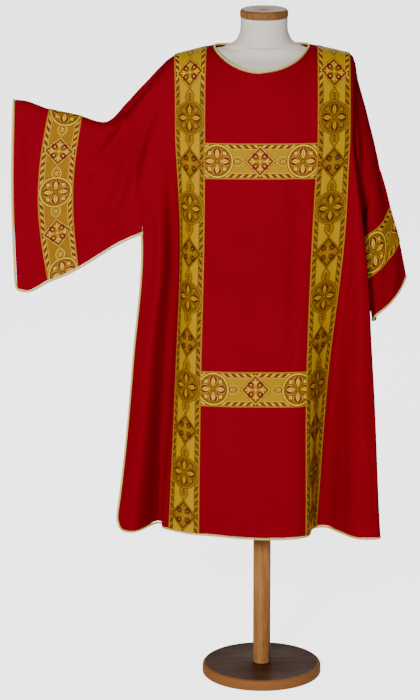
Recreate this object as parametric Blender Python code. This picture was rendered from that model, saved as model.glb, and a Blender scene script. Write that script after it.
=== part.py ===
"""A dalmatic worn by a limbless dress form on a turned wooden stand.

Metres, +Z up.  The origin is the centre of the stand's underside, the garment's
front faces -Y, and the wearer's right sleeve (raised) reaches out along -X.
"""

import math

import bmesh
import bpy
from mathutils import Vector

# ---------------------------------------------------------------- driving sizes
SEAM_GAP = 0.0003            # left between pieces that meet
SLEEVE_GAP = 0.0006          # at the sleeve seams, where the cloth turns a corner
CROWN_EASE = 0.0024          # the form's shoulder crown lies this far under the cloth's fold
WALL = 0.0020                # red cloth with its interfacing
BRAID = 0.0012               # woven galloon laid on the cloth
CORD_RADIUS = 0.0025         # gold piping round every free edge
CORD_SIDES = 6
FOLDED_CORD_GAP = 0.0012     # the hanging cuff turns sharply under its fold
NECK_CORD_GAP = 0.0006       # the neck's piping turns sharply at the shoulder folds
CORNER_TRIM = 0.0080         # piping stops this far short of an underarm corner

YOKE_HEIGHT = 1.393          # upper edge of the chest band
ARM_HEIGHT = 1.158           # underarm corner
HIP_HEIGHT = 0.829           # upper edge of the skirt band
HEM_HEIGHT = 0.410
BAND_WIDTH = 0.088           # all galloons
YOKE_SHARE = 0.60            # a short fold reaches its yoke point this far up its armhole
CORNER_LIFT = 0.020          # rounding of the hem at the raised side's corner

NECK_CENTRE = -0.006
NECK_HALF_WIDTH = 0.118
NECK_FRONT_REACH = 0.101
NECK_FRONT_DROP = 0.052
NECK_BACK_REACH = 0.070
NECK_BACK_DROP = 0.012

BASE_RADIUS = 0.150
BASE_HEIGHT = 0.027
BASE_EDGE = 0.006
POLE_RADIUS = 0.022
FORM_BOTTOM = 0.880
CAP_RADIUS = 0.0585
CAP_HEIGHT = 0.020
STAND_HEIGHT = 1.700

# Top line of the garment: x, z.  It runs from the seam of the raised sleeve over
# both shoulders and down the folded top of the hanging sleeve to that sleeve's seam.
RIDGE = (
    (-0.3280, 1.4750),
    (-0.3060, 1.5000),
    (-0.2820, 1.5250),
    (-0.2600, 1.5490),
    (-0.2360, 1.5730),
    (-0.2150, 1.5880),
    (-0.1260, 1.6105),
    (0.1140, 1.6125),
    (0.2080, 1.5910),
    (0.2165, 1.5830),
    (0.2230, 1.5650),
    (0.2315, 1.5247),
    (0.2442, 1.4752),
    (0.2570, 1.4256),
    (0.2697, 1.3759),
    (0.2830, 1.3160),
)

# Fold lines of the front, from the raised side to the hanging side.  "steps" is the
# number of faces to the next fold; the rest is x at the ridge, then x, y at the yoke,
# underarm, hip and hem.
FRONT_FOLDS = (
    # name         steps  ridge    yoke             underarm         hip              hem
    ("free_edge",     2, -0.328, (-0.321, -0.046), (-0.296, -0.053), (-0.320, -0.068), (-0.361, -0.090)),
    ("flare",         2, -0.291, (-0.287, -0.066), (-0.258, -0.078), (-0.282, -0.094), (-0.328, -0.114)),
    ("valley",        1, -0.262, (-0.250, -0.074), (-0.217, -0.047), (-0.234, -0.046), (-0.255, -0.034)),
    ("tuck",          1, -0.248, (-0.238, -0.075), (-0.210, -0.048), (-0.223, -0.056), (-0.246, -0.052)),
    ("fold_edge",     1, -0.236, (-0.228, -0.075), (-0.207, -0.054), (-0.221, -0.068), (-0.252, -0.070)),
    ("band_r_out",    3, -0.217, (-0.2145, -0.081), (-0.203, -0.064), (-0.2135, -0.080), (-0.2334, -0.090)),
    ("band_r_in",     1, -0.138, (-0.1430, -0.117), (-0.1445, -0.125), (-0.1525, -0.141), (-0.1582, -0.133)),
    ("neck_r",        3, -0.124, (-0.127, -0.119), (-0.127, -0.127), (-0.130, -0.144), (-0.128, -0.140)),
    ("breast_r",      2, -0.090, (-0.085, -0.123), (-0.085, -0.129), (-0.090, -0.149), (-0.075, -0.157)),
    ("centre",        2, 0.000, (-0.005, -0.124), (-0.005, -0.130), (-0.010, -0.151), (0.000, -0.170)),
    ("breast_l",      3, 0.078, (0.080, -0.122), (0.075, -0.129), (0.065, -0.151), (0.060, -0.168)),
    ("neck_l",        1, 0.112, (0.117, -0.119), (0.104, -0.127), (0.092, -0.148), (0.094, -0.157)),
    ("band_l_in",     3, 0.129, (0.1288, -0.117), (0.1165, -0.124), (0.1050, -0.142), (0.1049, -0.151)),
    ("band_l_out",    1, 0.208, (0.2080, -0.081), (0.1975, -0.089), (0.1620, -0.077), (0.1345, -0.071)),
    ("hollow",        2, 0.2145, (0.2115, -0.080), (0.206, -0.088), (0.175, -0.071), (0.1532, -0.068)),
    ("skirt_rise",    2, 0.2180, (0.2135, -0.080), (0.218, -0.096), (0.205, -0.094), (0.1883, -0.109)),
    ("skirt_crest",   2, 0.2215, (0.2145, -0.077), (0.234, -0.104), (0.243, -0.124), (0.240, -0.166)),
    ("side_fold",     2, 0.2245, (0.2150, -0.070), (0.244, -0.098), (0.271, -0.113), (0.289, -0.160)),
    ("side_return",   2, 0.2285, (0.2140, -0.052), (0.234, -0.072), (0.259, -0.080), (0.282, -0.115)),
    ("sleeve_ridge",  2, 0.2420, (0.2300, -0.050), (0.224, -0.052), (0.251, -0.056), (0.277, -0.085)),
    ("sleeve_valley", 2, 0.2570, (0.2420, -0.036), (0.222, -0.034), (0.246, -0.036), (0.271, -0.060)),
    ("free_edge_l",   0, 0.2830, (0.2640, -0.028), (0.236, -0.022), (0.244, -0.018), (0.267, -0.038)),
)

# Fold lines of the back, in the same columns and from the same side.
BACK_FOLDS = (
    # name         steps  ridge    yoke             underarm        hip             hem
    ("free_edge",     2, -0.328, (-0.319, 0.050), (-0.288, 0.054), (-0.306, 0.064), (-0.338, 0.080)),
    ("flare",         2, -0.285, (-0.280, 0.076), (-0.249, 0.084), (-0.270, 0.104), (-0.308, 0.126)),
    ("valley",        2, -0.250, (-0.242, 0.084), (-0.219, 0.068), (-0.232, 0.080), (-0.254, 0.092)),
    ("band_r_out",    3, -0.217, (-0.2145, 0.083), (-0.198, 0.078), (-0.206, 0.094), (-0.218, 0.116)),
    ("band_r_in",     1, -0.138, (-0.1400, 0.125), (-0.132, 0.130), (-0.135, 0.143), (-0.140, 0.160)),
    ("neck_r",        3, -0.124, (-0.122, 0.128), (-0.115, 0.132), (-0.117, 0.144), (-0.118, 0.160)),
    ("blade_r",       2, -0.090, (-0.080, 0.130), (-0.070, 0.126), (-0.070, 0.140), (-0.066, 0.152)),
    ("centre",        2, 0.000, (0.000, 0.128), (0.000, 0.124), (0.000, 0.146), (0.000, 0.170)),
    ("blade_l",       3, 0.078, (0.080, 0.130), (0.072, 0.127), (0.070, 0.141), (0.070, 0.156)),
    ("neck_l",        1, 0.112, (0.116, 0.128), (0.112, 0.132), (0.112, 0.145), (0.110, 0.164)),
    ("band_l_in",     3, 0.129, (0.1320, 0.125), (0.130, 0.130), (0.130, 0.144), (0.130, 0.165)),
    ("band_l_out",    2, 0.208, (0.2050, 0.082), (0.198, 0.078), (0.201, 0.093), (0.204, 0.118)),
    ("skirt_rise",    2, 0.2175, (0.2120, 0.078), (0.222, 0.084), (0.234, 0.100), (0.238, 0.118)),
    ("side_fold",     2, 0.2240, (0.2150, 0.068), (0.240, 0.092), (0.264, 0.112), (0.280, 0.140)),
    ("side_return",   2, 0.2285, (0.2140, 0.052), (0.234, 0.070), (0.257, 0.080), (0.276, 0.108)),
    ("sleeve_ridge",  2, 0.2420, (0.2300, 0.050), (0.224, 0.052), (0.251, 0.056), (0.272, 0.082)),
    ("sleeve_valley", 2, 0.2570, (0.2420, 0.036), (0.222, 0.034), (0.246, 0.036), (0.268, 0.060)),
    ("free_edge_l",   0, 0.2830, (0.2640, 0.028), (0.236, 0.022), (0.244, 0.018), (0.264, 0.040)),
)

# Sections of the raised sleeve beyond its seam: x, z of its top, depth of the crease
# under the top, x, z of its lower edge, how far each leg stands out there, and how far
# the section bows towards the cuff halfway down.
RAISED_SLEEVE = (
    # name       steps  top               crease  edge             spread  bow
    ("sag",         2, (-0.386, 1.4215), 0.008, (-0.366, 1.126), 0.056, 0.004),
    ("band_in",     3, (-0.443, 1.4355), 0.012, (-0.4535, 1.071), 0.058, 0.017),
    ("band_out",    2, (-0.5237, 1.4535), 0.014, (-0.529, 1.037), 0.060, 0.025),
    ("hand",        1, (-0.5850, 1.4745), 0.016, (-0.585, 1.013), 0.062, 0.012),
    ("cuff",        0, (-0.6055, 1.4765), 0.017, (-0.604, 1.018), 0.062, 0.006),
)

# Sections of the hanging sleeve's front leaf beyond its seam, from the folded top to
# the free lower edge; the back leaf mirrors them, spread by BACK_LEAF.
HANGING_SLEEVE = (
    # name       steps  fold                    quarter                  half                     turn                     edge
    ("band_in",     2, (0.3120, 0.0, 1.208), (0.298, -0.026, 1.186), (0.277, -0.047, 1.166), (0.248, -0.058, 1.146), (0.260, -0.020, 1.112)),
    ("band_out",    2, (0.3360, 0.0, 1.121), (0.320, -0.027, 1.096), (0.294, -0.052, 1.070), (0.256, -0.062, 1.038), (0.268, -0.022, 1.002)),
    ("cuff",        0, (0.3530, 0.0, 1.037), (0.3365, -0.026, 1.007), (0.308, -0.050, 0.976), (0.265, -0.064, 0.943), (0.276, -0.022, 0.908)),
)
BACK_LEAF = 1.00

# Horizontal rings of the dress form below the shoulders: height, half width, front, back.
FORM_RINGS = (
    (0.8800, 0.150, 0.100, 0.092),
    (0.8860, 0.162, 0.112, 0.103),
    (0.9400, 0.170, 0.117, 0.110),
    (1.0000, 0.172, 0.117, 0.112),
    (1.0800, 0.160, 0.109, 0.102),
    (1.1500, 0.150, 0.103, 0.095),
    (1.2200, 0.157, 0.106, 0.100),
    (1.3000, 0.172, 0.114, 0.110),
    (1.3800, 0.184, 0.118, 0.117),
    (1.4400, 0.193, 0.114, 0.117),
    (1.5000, 0.203, 0.103, 0.108),
    (1.5400, 0.208, 0.090, 0.094),
    (1.5680, 0.209, 0.070, 0.070),
)
# The crown of the shoulders follows the cloth's fold: half width, half depth, pinch
# (1 is an ellipse, more draws the ring in between neck and shoulder).
SHOULDER_RINGS = (
    (0.204, 0.048, 1.00),
    (0.190, 0.046, 1.10),
    (0.165, 0.044, 1.20),
    (0.132, 0.044, 1.45),
    (0.105, 0.046, 1.50),
)
# The neck: height, half width, half depth, pinch.
NECK_RINGS = (
    (1.6140, 0.085, 0.0555, 1.30),
    (1.6230, 0.069, 0.0560, 1.12),
    (1.6400, 0.060, 0.0560, 1.00),
    (1.6797, 0.0570, 0.0560, 1.00),
)
BODY_FULLNESS = 0.90
FORM_SIDES = 32


# ---------------------------------------------------------------- small mathematics
def hermite(knots, values, at, start_slope=None):
    """Smooth curve through values at rising (or falling) knots."""
    last = len(knots) - 1
    span = 0
    while span < last - 1 and (at - knots[span + 1]) * (knots[-1] - knots[0]) > 0:
        span += 1

    def secant(index):
        return (values[index + 1] - values[index]) / (knots[index + 1] - knots[index])

    def slope(index):
        if index == 0:
            return secant(0) if start_slope is None else start_slope
        if index == last:
            return secant(last - 1)
        before = knots[index] - knots[index - 1]
        after = knots[index + 1] - knots[index]
        return (secant(index - 1) * after + secant(index) * before) / (before + after)

    width = knots[span + 1] - knots[span]
    t = (at - knots[span]) / width
    return ((2 * t ** 3 - 3 * t ** 2 + 1) * values[span]
            + (t ** 3 - 2 * t ** 2 + t) * width * slope(span)
            + (3 * t ** 2 - 2 * t ** 3) * values[span + 1]
            + (t ** 3 - t ** 2) * width * slope(span + 1))


def polyline(pairs, at):
    """Straight interpolation in a table of (x, value) pairs."""
    for (x0, v0), (x1, v1) in zip(pairs, pairs[1:]):
        if at <= x1:
            return v0 + (v1 - v0) * max(0.0, at - x0) / (x1 - x0)
    return pairs[-1][1]


def smooth_step(low, high, at):
    t = min(1.0, max(0.0, (at - low) / (high - low)))
    return t * t * (3.0 - 2.0 * t)


def through(points, knots, at):
    """Point on the smooth curve through 3-D points."""
    return Vector([hermite(knots, [p[axis] for p in points], at) for axis in range(3)])


def chord_knots(points):
    knots = [0.0]
    for a, b in zip(points, points[1:]):
        knots.append(knots[-1] + max((b - a).length, 1e-5))
    return knots


# ---------------------------------------------------------------- the draped panels
# Rows of a panel: angles over the shoulder down to the yoke, then heights to the hem.
SHOULDER_ROWS = 6
YOKE_TO_ARM = (YOKE_HEIGHT - BAND_WIDTH, 1.232, ARM_HEIGHT)
ARM_TO_HIP = (1.095, 1.030, 0.963, 0.896, HIP_HEIGHT)
HIP_TO_HEM = (HIP_HEIGHT - BAND_WIDTH, 0.660, 0.578, 0.494, HEM_HEIGHT)
YOKE_ROW = SHOULDER_ROWS
ARM_ROW = YOKE_ROW + len(YOKE_TO_ARM)
HIP_ROW = ARM_ROW + len(ARM_TO_HIP)
HEM_ROW = HIP_ROW + len(HIP_TO_HEM)
BACK_LEAF_ROWS = range(ARM_ROW, 2 * ARM_ROW)   # of a sleeve, counted round it from the front's edge

DRAPE_LINE = ((-0.330, 1.4270), (-0.272, 1.5160), (-0.232, 1.5700))
DRAPE_DEPTH = 0.85
DRAPE_CLEAR = 0.006          # the front and back leaves stay this far off each other's plane


def ridge_height(x):
    return polyline(RIDGE, x)


def set_back(point):
    """Draw the cloth back between the raised side's top line and its drape fold."""
    line = polyline(DRAPE_LINE, point.x)
    share = smooth_step(-0.010, 0.010, point.z - line) * smooth_step(0.235, 0.252, -point.x)
    depth = abs(point.y)
    kept = max(min(depth, DRAPE_CLEAR), depth * (1.0 - DRAPE_DEPTH * share))
    return Vector((point.x, math.copysign(kept, point.y), point.z))


def neckline_point(ridge_x, side):
    """Point of the neck opening above a fold, or None where the ridge is cloth."""
    share = (ridge_x - NECK_CENTRE) / NECK_HALF_WIDTH
    if abs(share) > 1.0:
        return None
    front = side < 0
    reach = NECK_FRONT_REACH if front else NECK_BACK_REACH
    drop = NECK_FRONT_DROP if front else NECK_BACK_DROP
    fall = math.sqrt(1.0 - share * share)
    corner = ridge_height(NECK_CENTRE + math.copysign(NECK_HALF_WIDTH, share))
    return Vector((ridge_x, side * max(SEAM_GAP / 2, reach * fall), corner - drop * fall ** 1.5))


def between_on_neck(x0, x1, share):
    """x between two folds: evenly round the neck opening, straight elsewhere."""
    turns = [(x - NECK_CENTRE) / NECK_HALF_WIDTH for x in (x0, x1)]
    if max(abs(turn) for turn in turns) > 1.0001:
        return x0 + (x1 - x0) * share
    first, last = (math.asin(max(-1.0, min(1.0, turn))) for turn in turns)
    return NECK_CENTRE + NECK_HALF_WIDTH * math.sin(first + (last - first) * share)


def over_shoulder(ridge_x, yoke, side, row):
    """Point between the top line and the yoke, on an arc over the shoulder."""
    start = neckline_point(ridge_x, side) or Vector((ridge_x, side * SEAM_GAP / 2, ridge_height(ridge_x)))
    first = math.asin(min(0.98, start.y / yoke.y))
    angle = first + (math.pi / 2 - first) * row / YOKE_ROW
    height = (start.z - yoke.z) / math.cos(first)
    share = (math.sin(angle) - math.sin(first)) / (1.0 - math.sin(first))
    x = start.x + (yoke.x - start.x) * share
    return set_back(Vector((x, yoke.y * math.sin(angle), yoke.z + height * math.cos(angle))))


def fold_point(fold, row):
    """Point of one fold line on a row from the yoke down."""
    _, _, ridge_x, yoke, arm, hip, hem = fold
    yoke_z = min(YOKE_HEIGHT, ARM_HEIGHT + YOKE_SHARE * (ridge_height(ridge_x) - ARM_HEIGHT))
    levels = (yoke_z, ARM_HEIGHT, HIP_HEIGHT, HEM_HEIGHT)
    if row <= ARM_ROW:
        heights = (YOKE_HEIGHT,) + YOKE_TO_ARM
        fall = (YOKE_HEIGHT - heights[row - YOKE_ROW]) / (YOKE_HEIGHT - ARM_HEIGHT)
        z = yoke_z + (ARM_HEIGHT - yoke_z) * fall
    elif row <= HIP_ROW:
        z = ARM_TO_HIP[row - ARM_ROW - 1]
    else:
        z = HIP_TO_HEM[row - HIP_ROW - 1]
    x = hermite(levels, (yoke[0], arm[0], hip[0], hem[0]), z)
    y = hermite(levels, (yoke[1], arm[1], hip[1], hem[1]), z, start_slope=0.0)
    return set_back(Vector((x, y, z)))


def panel_grid(folds, side):
    """Rows of points over the whole panel, and the column number of every fold."""
    columns = {}
    ridge = []
    for fold, after in zip(folds, folds[1:] + folds[-1:]):
        columns[fold[0]] = len(ridge)
        ridge += [between_on_neck(fold[2], after[2], step / max(1, fold[1])) for step in range(max(1, fold[1]))]
    rows = []
    for row in range(YOKE_ROW, HEM_ROW + 1):
        points = [fold_point(fold, row) for fold in folds]
        knots = chord_knots(points)
        line = []
        for index, fold in enumerate(folds):
            line.append(points[index])
            for step in range(1, fold[1]):
                at = knots[index] + (knots[index + 1] - knots[index]) * step / fold[1]
                line.append(through(points, knots, at))
        rows.append(line)
    rows = [[over_shoulder(x, yoke, side, row) for x, yoke in zip(ridge, rows[0])]
            for row in range(YOKE_ROW)] + rows
    rows[-1][0] = rows[-1][0] + Vector((0.0, 0.0, CORNER_LIFT))
    return rows, columns


# ---------------------------------------------------------------- meshes from grids
def grid_normals(rows, outward):
    """Unit normals of a grid, from the faces round each point; outward is its winding."""
    height, width = len(rows), len(rows[0])
    normals = [[Vector((0.0, 0.0, 0.0)) for _ in line] for line in rows]
    for i in range(height - 1):
        for j in range(width - 1):
            across = rows[i][j + 1] - rows[i + 1][j]
            down = rows[i + 1][j + 1] - rows[i][j]
            face = across.cross(down) * outward
            for a, b in ((i, j), (i, j + 1), (i + 1, j), (i + 1, j + 1)):
                normals[a][b] += face
    return [[normal.normalized() for normal in line] for line in normals]


def moved(rows, normals, distance):
    return [[p + n * distance for p, n in zip(line, normal_line)]
            for line, normal_line in zip(rows, normals)]


def material(name, colour, roughness, metallic=0.0):
    finish = bpy.data.materials.new(name)
    finish.use_nodes = True
    shader = finish.node_tree.nodes["Principled BSDF"]
    shader.inputs["Base Color"].default_value = (*colour, 1.0)
    shader.inputs["Roughness"].default_value = roughness
    shader.inputs["Metallic"].default_value = metallic
    finish.diffuse_color = (*colour, 1.0)
    return finish


def add_object(name, verts, faces, finish, smooth_angle=50.0):
    mesh = bpy.data.meshes.new(name)
    mesh.from_pydata([tuple(v) for v in verts], [], faces)
    body = bmesh.new()
    body.from_mesh(mesh)
    bmesh.ops.recalc_face_normals(body, faces=body.faces)
    body.to_mesh(mesh)
    body.free()
    mesh.materials.append(finish)
    mesh.shade_smooth()
    mesh.set_sharp_from_angle(angle=math.radians(smooth_angle))
    piece = bpy.data.objects.new(name, mesh)
    bpy.context.collection.objects.link(piece)
    return piece


def sheet(name, outer, inner, finish, turned_rows=()):
    """Closed wall between two grids of the same size.

    Faces are split along one diagonal, and along the other in the turned rows, so that
    both leaves of a fold, and a braid and the cloth under it, are split alike.
    """
    height, width = len(outer), len(outer[0])
    verts = [p for line in outer for p in line] + [p for line in inner for p in line]
    back = height * width

    def at(i, j):
        return i * width + j

    faces = []
    for i in range(height - 1):
        for j in range(width - 1):
            a, b, c, d = at(i, j), at(i, j + 1), at(i + 1, j + 1), at(i + 1, j)
            halves = [(a, b, d), (b, c, d)] if i in turned_rows else [(a, b, c), (a, c, d)]
            for half in halves:
                faces += [half, tuple(back + corner for corner in reversed(half))]
    border = [at(0, j) for j in range(width)]
    border += [at(i, width - 1) for i in range(1, height)]
    border += [at(height - 1, j) for j in range(width - 2, -1, -1)]
    border += [at(i, 0) for i in range(height - 2, 0, -1)]
    for a, b in zip(border, border[1:] + border[:1]):
        # split from the higher outer corner, so that two rims at a seam match
        if verts[a].z > verts[b].z:
            faces += [(b, a, back + b), (a, back + a, back + b)]
        else:
            faces += [(b, a, back + a), (b, back + a, back + b)]
    return add_object(name, verts, faces, finish)


def body_panel(name, rows, side, finish):
    """Front or back wall; its shoulder rim stays on its own side of the ridge."""
    normals = grid_normals(rows, side)
    inner = moved(rows, normals, -WALL)
    for point in inner[0]:
        point.y = side * max(SEAM_GAP / 2, side * point.y)
    sheet(name, rows, inner, finish)
    return normals


def braid(name, rows, normals, finish, turned_rows=()):
    """Galloon laid on a panel: the panel's own points moved out."""
    low = moved(rows, normals, SEAM_GAP)
    high = moved(rows, normals, SEAM_GAP + BRAID)
    sheet(name, high, low, finish, turned_rows)


def part_of(rows, first_row, last_row, first_column, last_column):
    return [line[first_column:last_column + 1] for line in rows[first_row:last_row + 1]]


def rim_walk(rows, normals, places):
    """Rim points at a list of (row, column) places, their inner neighbours and normals."""
    last_row, last_column = len(rows) - 1, len(rows[0]) - 1
    walk = []
    for i, j in places:
        inner_i = min(max(i, 1), last_row - 1)
        inner_j = min(max(j, 1), last_column - 1)
        walk.append((rows[i][j], rows[inner_i][inner_j], normals[i][j]))
    return walk


def cord(name, walk, finish, trims=(0.0, 0.0), closed=False, gap=SEAM_GAP):
    """Round piping beside a wall's rim: the bead lies just off the edge."""
    points = [place[0] for place in walk]
    count = len(points)
    points[0] = points[0] + (points[1] - points[0]).normalized() * trims[0]
    points[-1] = points[-1] + (points[-2] - points[-1]).normalized() * trims[1]
    verts = []
    for k, (_, inner, normal) in enumerate(walk):
        point = points[k]
        before = points[k - 1] if closed or k else 2 * point - points[k + 1]
        after = points[(k + 1) % count] if closed or k < count - 1 else 2 * point - points[k - 1]
        arriving = (point - before).normalized()
        leaving = (after - point).normalized()
        tangent = (arriving + leaving).normalized()
        away = tangent.cross(normal).normalized()
        if away.dot(point - inner) < 0:
            away.negate()
        mitre = 1.0 / max(0.6, math.sqrt((1.0 + arriving.dot(leaving)) / 2.0))
        centre = point - normal * WALL / 2 + away * (CORD_RADIUS + gap) * mitre
        lift = tangent.cross(away)
        for side in range(CORD_SIDES):
            turn = 2 * math.pi * (side + 0.5) / CORD_SIDES
            verts.append(centre + (away * math.cos(turn) * mitre + lift * math.sin(turn)) * CORD_RADIUS)
    faces = []
    for k in range(count if closed else count - 1):
        ring, after = k * CORD_SIDES, (k + 1) % count * CORD_SIDES
        for side in range(CORD_SIDES):
            other = (side + 1) % CORD_SIDES
            faces.append((ring + side, ring + other, after + other, after + side))
    if not closed:
        faces.append(tuple(range(CORD_SIDES)))
        faces.append(tuple(range((count - 1) * CORD_SIDES, count * CORD_SIDES)))
    add_object(name, verts, faces, finish)


# ---------------------------------------------------------------- sleeves
def raised_sleeve_half(seam, side):
    """Rows from the top line to the lower edge, columns from the seam to the cuff."""
    rows_count = len(seam)
    crease_row = 4
    tops = [Vector((seam[0].x, 0.0, seam[0].z))]
    edges = [seam[-1]]
    creases = [seam[0].z - seam[crease_row].z]
    bows = [0.0]
    for _, _, top, crease, edge, spread, bow in RAISED_SLEEVE:
        tops.append(Vector((top[0], 0.0, top[1])))
        edges.append(Vector((edge[0], side * spread, edge[1])))
        creases.append(crease)
        bows.append(bow)
    knots = chord_knots(tops)
    places = sleeve_places(knots, RAISED_SLEEVE, 2)
    plain = []
    for at in places:
        top = through(tops, knots, at)
        edge = through(edges, knots, at)
        crease = hermite(knots, creases, at)
        bow = hermite(knots, bows, at)
        line = []
        for k in range(rows_count):
            upper = min(1.0, k / crease_row)
            fall = (seam[crease_row].z - seam[k].z) / (seam[crease_row].z - seam[-1].z) if k > crease_row else 0.0
            z = top.z - crease * upper + (edge.z - top.z + crease) * fall
            down = (top.z - z) / (top.z - edge.z)
            bulge = 0.25 * math.sqrt(min(1.0, down / 0.05)) + 0.75 * down
            x = top.x + (edge.x - top.x) * down - bow * math.sin(math.pi * down)
            line.append(Vector((x, side * max(SEAM_GAP / 2, side * edge.y * bulge), z)))
        plain.append(line)
    columns = []
    for at, line in zip(places, plain):
        fade = 1.0 - smooth_step(0.0, knots[1] * 1.15, at)
        columns.append([p + (s - first) * fade for p, s, first in zip(line, seam, plain[0])])
    return columns


def sleeve_places(knots, sections, first_steps):
    """Distances of a sleeve's columns from its seam."""
    places = []
    steps = (first_steps,) + tuple(section[1] for section in sections)
    for index in range(len(knots) - 1):
        for step in range(steps[index]):
            places.append(knots[index] + (knots[index + 1] - knots[index]) * step / steps[index])
    return places + [knots[-1]]


def hanging_sleeve_half(seam, side):
    """Rows from the folded top to the free edge, columns from the seam to the cuff."""
    rows_count = len(seam)
    lines = [seam]
    for section in HANGING_SLEEVE:
        depth = 1.0 if side < 0 else -BACK_LEAF
        points = [Vector((x, y * depth, z)) for x, y, z in section[2:]]
        knots = chord_knots(points)
        seam_knots = chord_knots(seam)
        shares = [knot / seam_knots[-1] for knot in seam_knots]
        lines.append([through(points, knots, share * knots[-1]) for share in shares])
    folds = [line[0] for line in lines]
    knots = chord_knots(folds)
    columns = []
    for at in sleeve_places(knots, HANGING_SLEEVE, 2):
        columns.append([through([line[k] for line in lines], knots, at) for k in range(rows_count)])
    return columns


def sleeve(name, half_maker, panels, column, piping, cloth, outward, first_bead, bead_gap):
    """One sleeve folded over its top, sewn to the front and back along one column.

    Its piping starts at column first_bead, clear of the corner under the arm, and lies
    bead_gap off the edge.
    """
    halves = []
    seam_normals = []
    for rows, normals, side in panels:
        seam = [line[column].copy() for line in rows[:ARM_ROW + 1]]
        seam[0].y = 0.0
        halves.append(half_maker(seam, side))
        seam_normals.append([line[column] for line in normals[:ARM_ROW + 1]])
    front, back = halves
    around = []
    for k in range(ARM_ROW, 0, -1):
        around.append([line[k] for line in front])
    around.append([(f[0] + b[0]) / 2 for f, b in zip(front, back)])
    for k in range(1, ARM_ROW + 1):
        around.append([line[k] for line in back])
    for line in around:
        line[0] = line[0] + (line[1] - line[0]).normalized() * SLEEVE_GAP
    normals = grid_normals(around, outward)
    shared = seam_normals[0][:0:-1]
    shared += [(seam_normals[0][0] + seam_normals[1][0]).normalized()]
    shared += seam_normals[1][1:]
    for normal_line, seam_normal in zip(normals, shared):
        normal_line[0] = seam_normal
    sheet(name, around, moved(around, normals, -WALL), cloth, BACK_LEAF_ROWS)
    last_row, last_column = len(around) - 1, len(around[0]) - 1
    walk = [(0, j) for j in range(first_bead, last_column + 1)]
    walk += [(i, last_column) for i in range(1, last_row + 1)]
    walk += [(last_row, j) for j in range(last_column - 1, first_bead - 1, -1)]
    cord(name + "_piping", rim_walk(around, normals, walk), piping,
         (CORNER_TRIM, CORNER_TRIM), gap=bead_gap)
    return around, normals


def section_column(sections, name, first_steps):
    """Column number at which a named section of a sleeve lies."""
    column = first_steps
    for section in sections:
        if section[0] == name:
            return column
        column += section[1]
    raise ValueError(name)


# ---------------------------------------------------------------- stand and form
def lathe_disc(name, radius, bottom, top, edge, sides, finish):
    """Round piece with eased edges."""
    bpy.ops.mesh.primitive_cylinder_add(
        vertices=sides, radius=radius, depth=top - bottom, location=(0.0, 0.0, (top + bottom) / 2))
    piece = bpy.context.object
    piece.name = name
    piece.data.name = name
    piece.data.materials.append(finish)
    if edge:
        bevel = piece.modifiers.new("eased edge", "BEVEL")
        bevel.width = edge
        bevel.segments = 2
        bevel.limit_method = "ANGLE"
        bevel.angle_limit = math.radians(60.0)
    piece.data.shade_smooth()
    piece.data.set_sharp_from_angle(angle=math.radians(40.0))
    return piece


def form_ring(height, half_width, front, back, pinch):
    """Points of one rounded ring of the dress form."""
    ring = []
    for side in range(FORM_SIDES):
        turn = 2 * math.pi * side / FORM_SIDES
        c, s = math.cos(turn), math.sin(turn)
        depth = back if s > 0 else front
        ring.append(Vector((half_width * math.copysign(abs(c) ** pinch, c),
                            depth * math.copysign(abs(s) ** pinch, s), height)))
    return ring


def dress_form(finish):
    rings = [form_ring(*row, BODY_FULLNESS) for row in FORM_RINGS]
    for half_width, depth, pinch in SHOULDER_RINGS:
        cloth = min(ridge_height(half_width), ridge_height(-half_width))
        rings.append(form_ring(cloth - WALL - CROWN_EASE, half_width, depth, depth, pinch))
    for height, half_width, depth, pinch in NECK_RINGS:
        rings.append(form_ring(height, half_width, depth, depth, pinch))
    verts = [point for ring in rings for point in ring]
    faces = []
    for k in range(len(rings) - 1):
        ring, above = k * FORM_SIDES, (k + 1) * FORM_SIDES
        for side in range(FORM_SIDES):
            other = (side + 1) % FORM_SIDES
            faces.append((ring + side, ring + other, above + other, above + side))
    faces.append(tuple(range(FORM_SIDES)))
    faces.append(tuple(range(len(verts) - FORM_SIDES, len(verts))))
    add_object("form_torso", verts, faces, finish)


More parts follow.
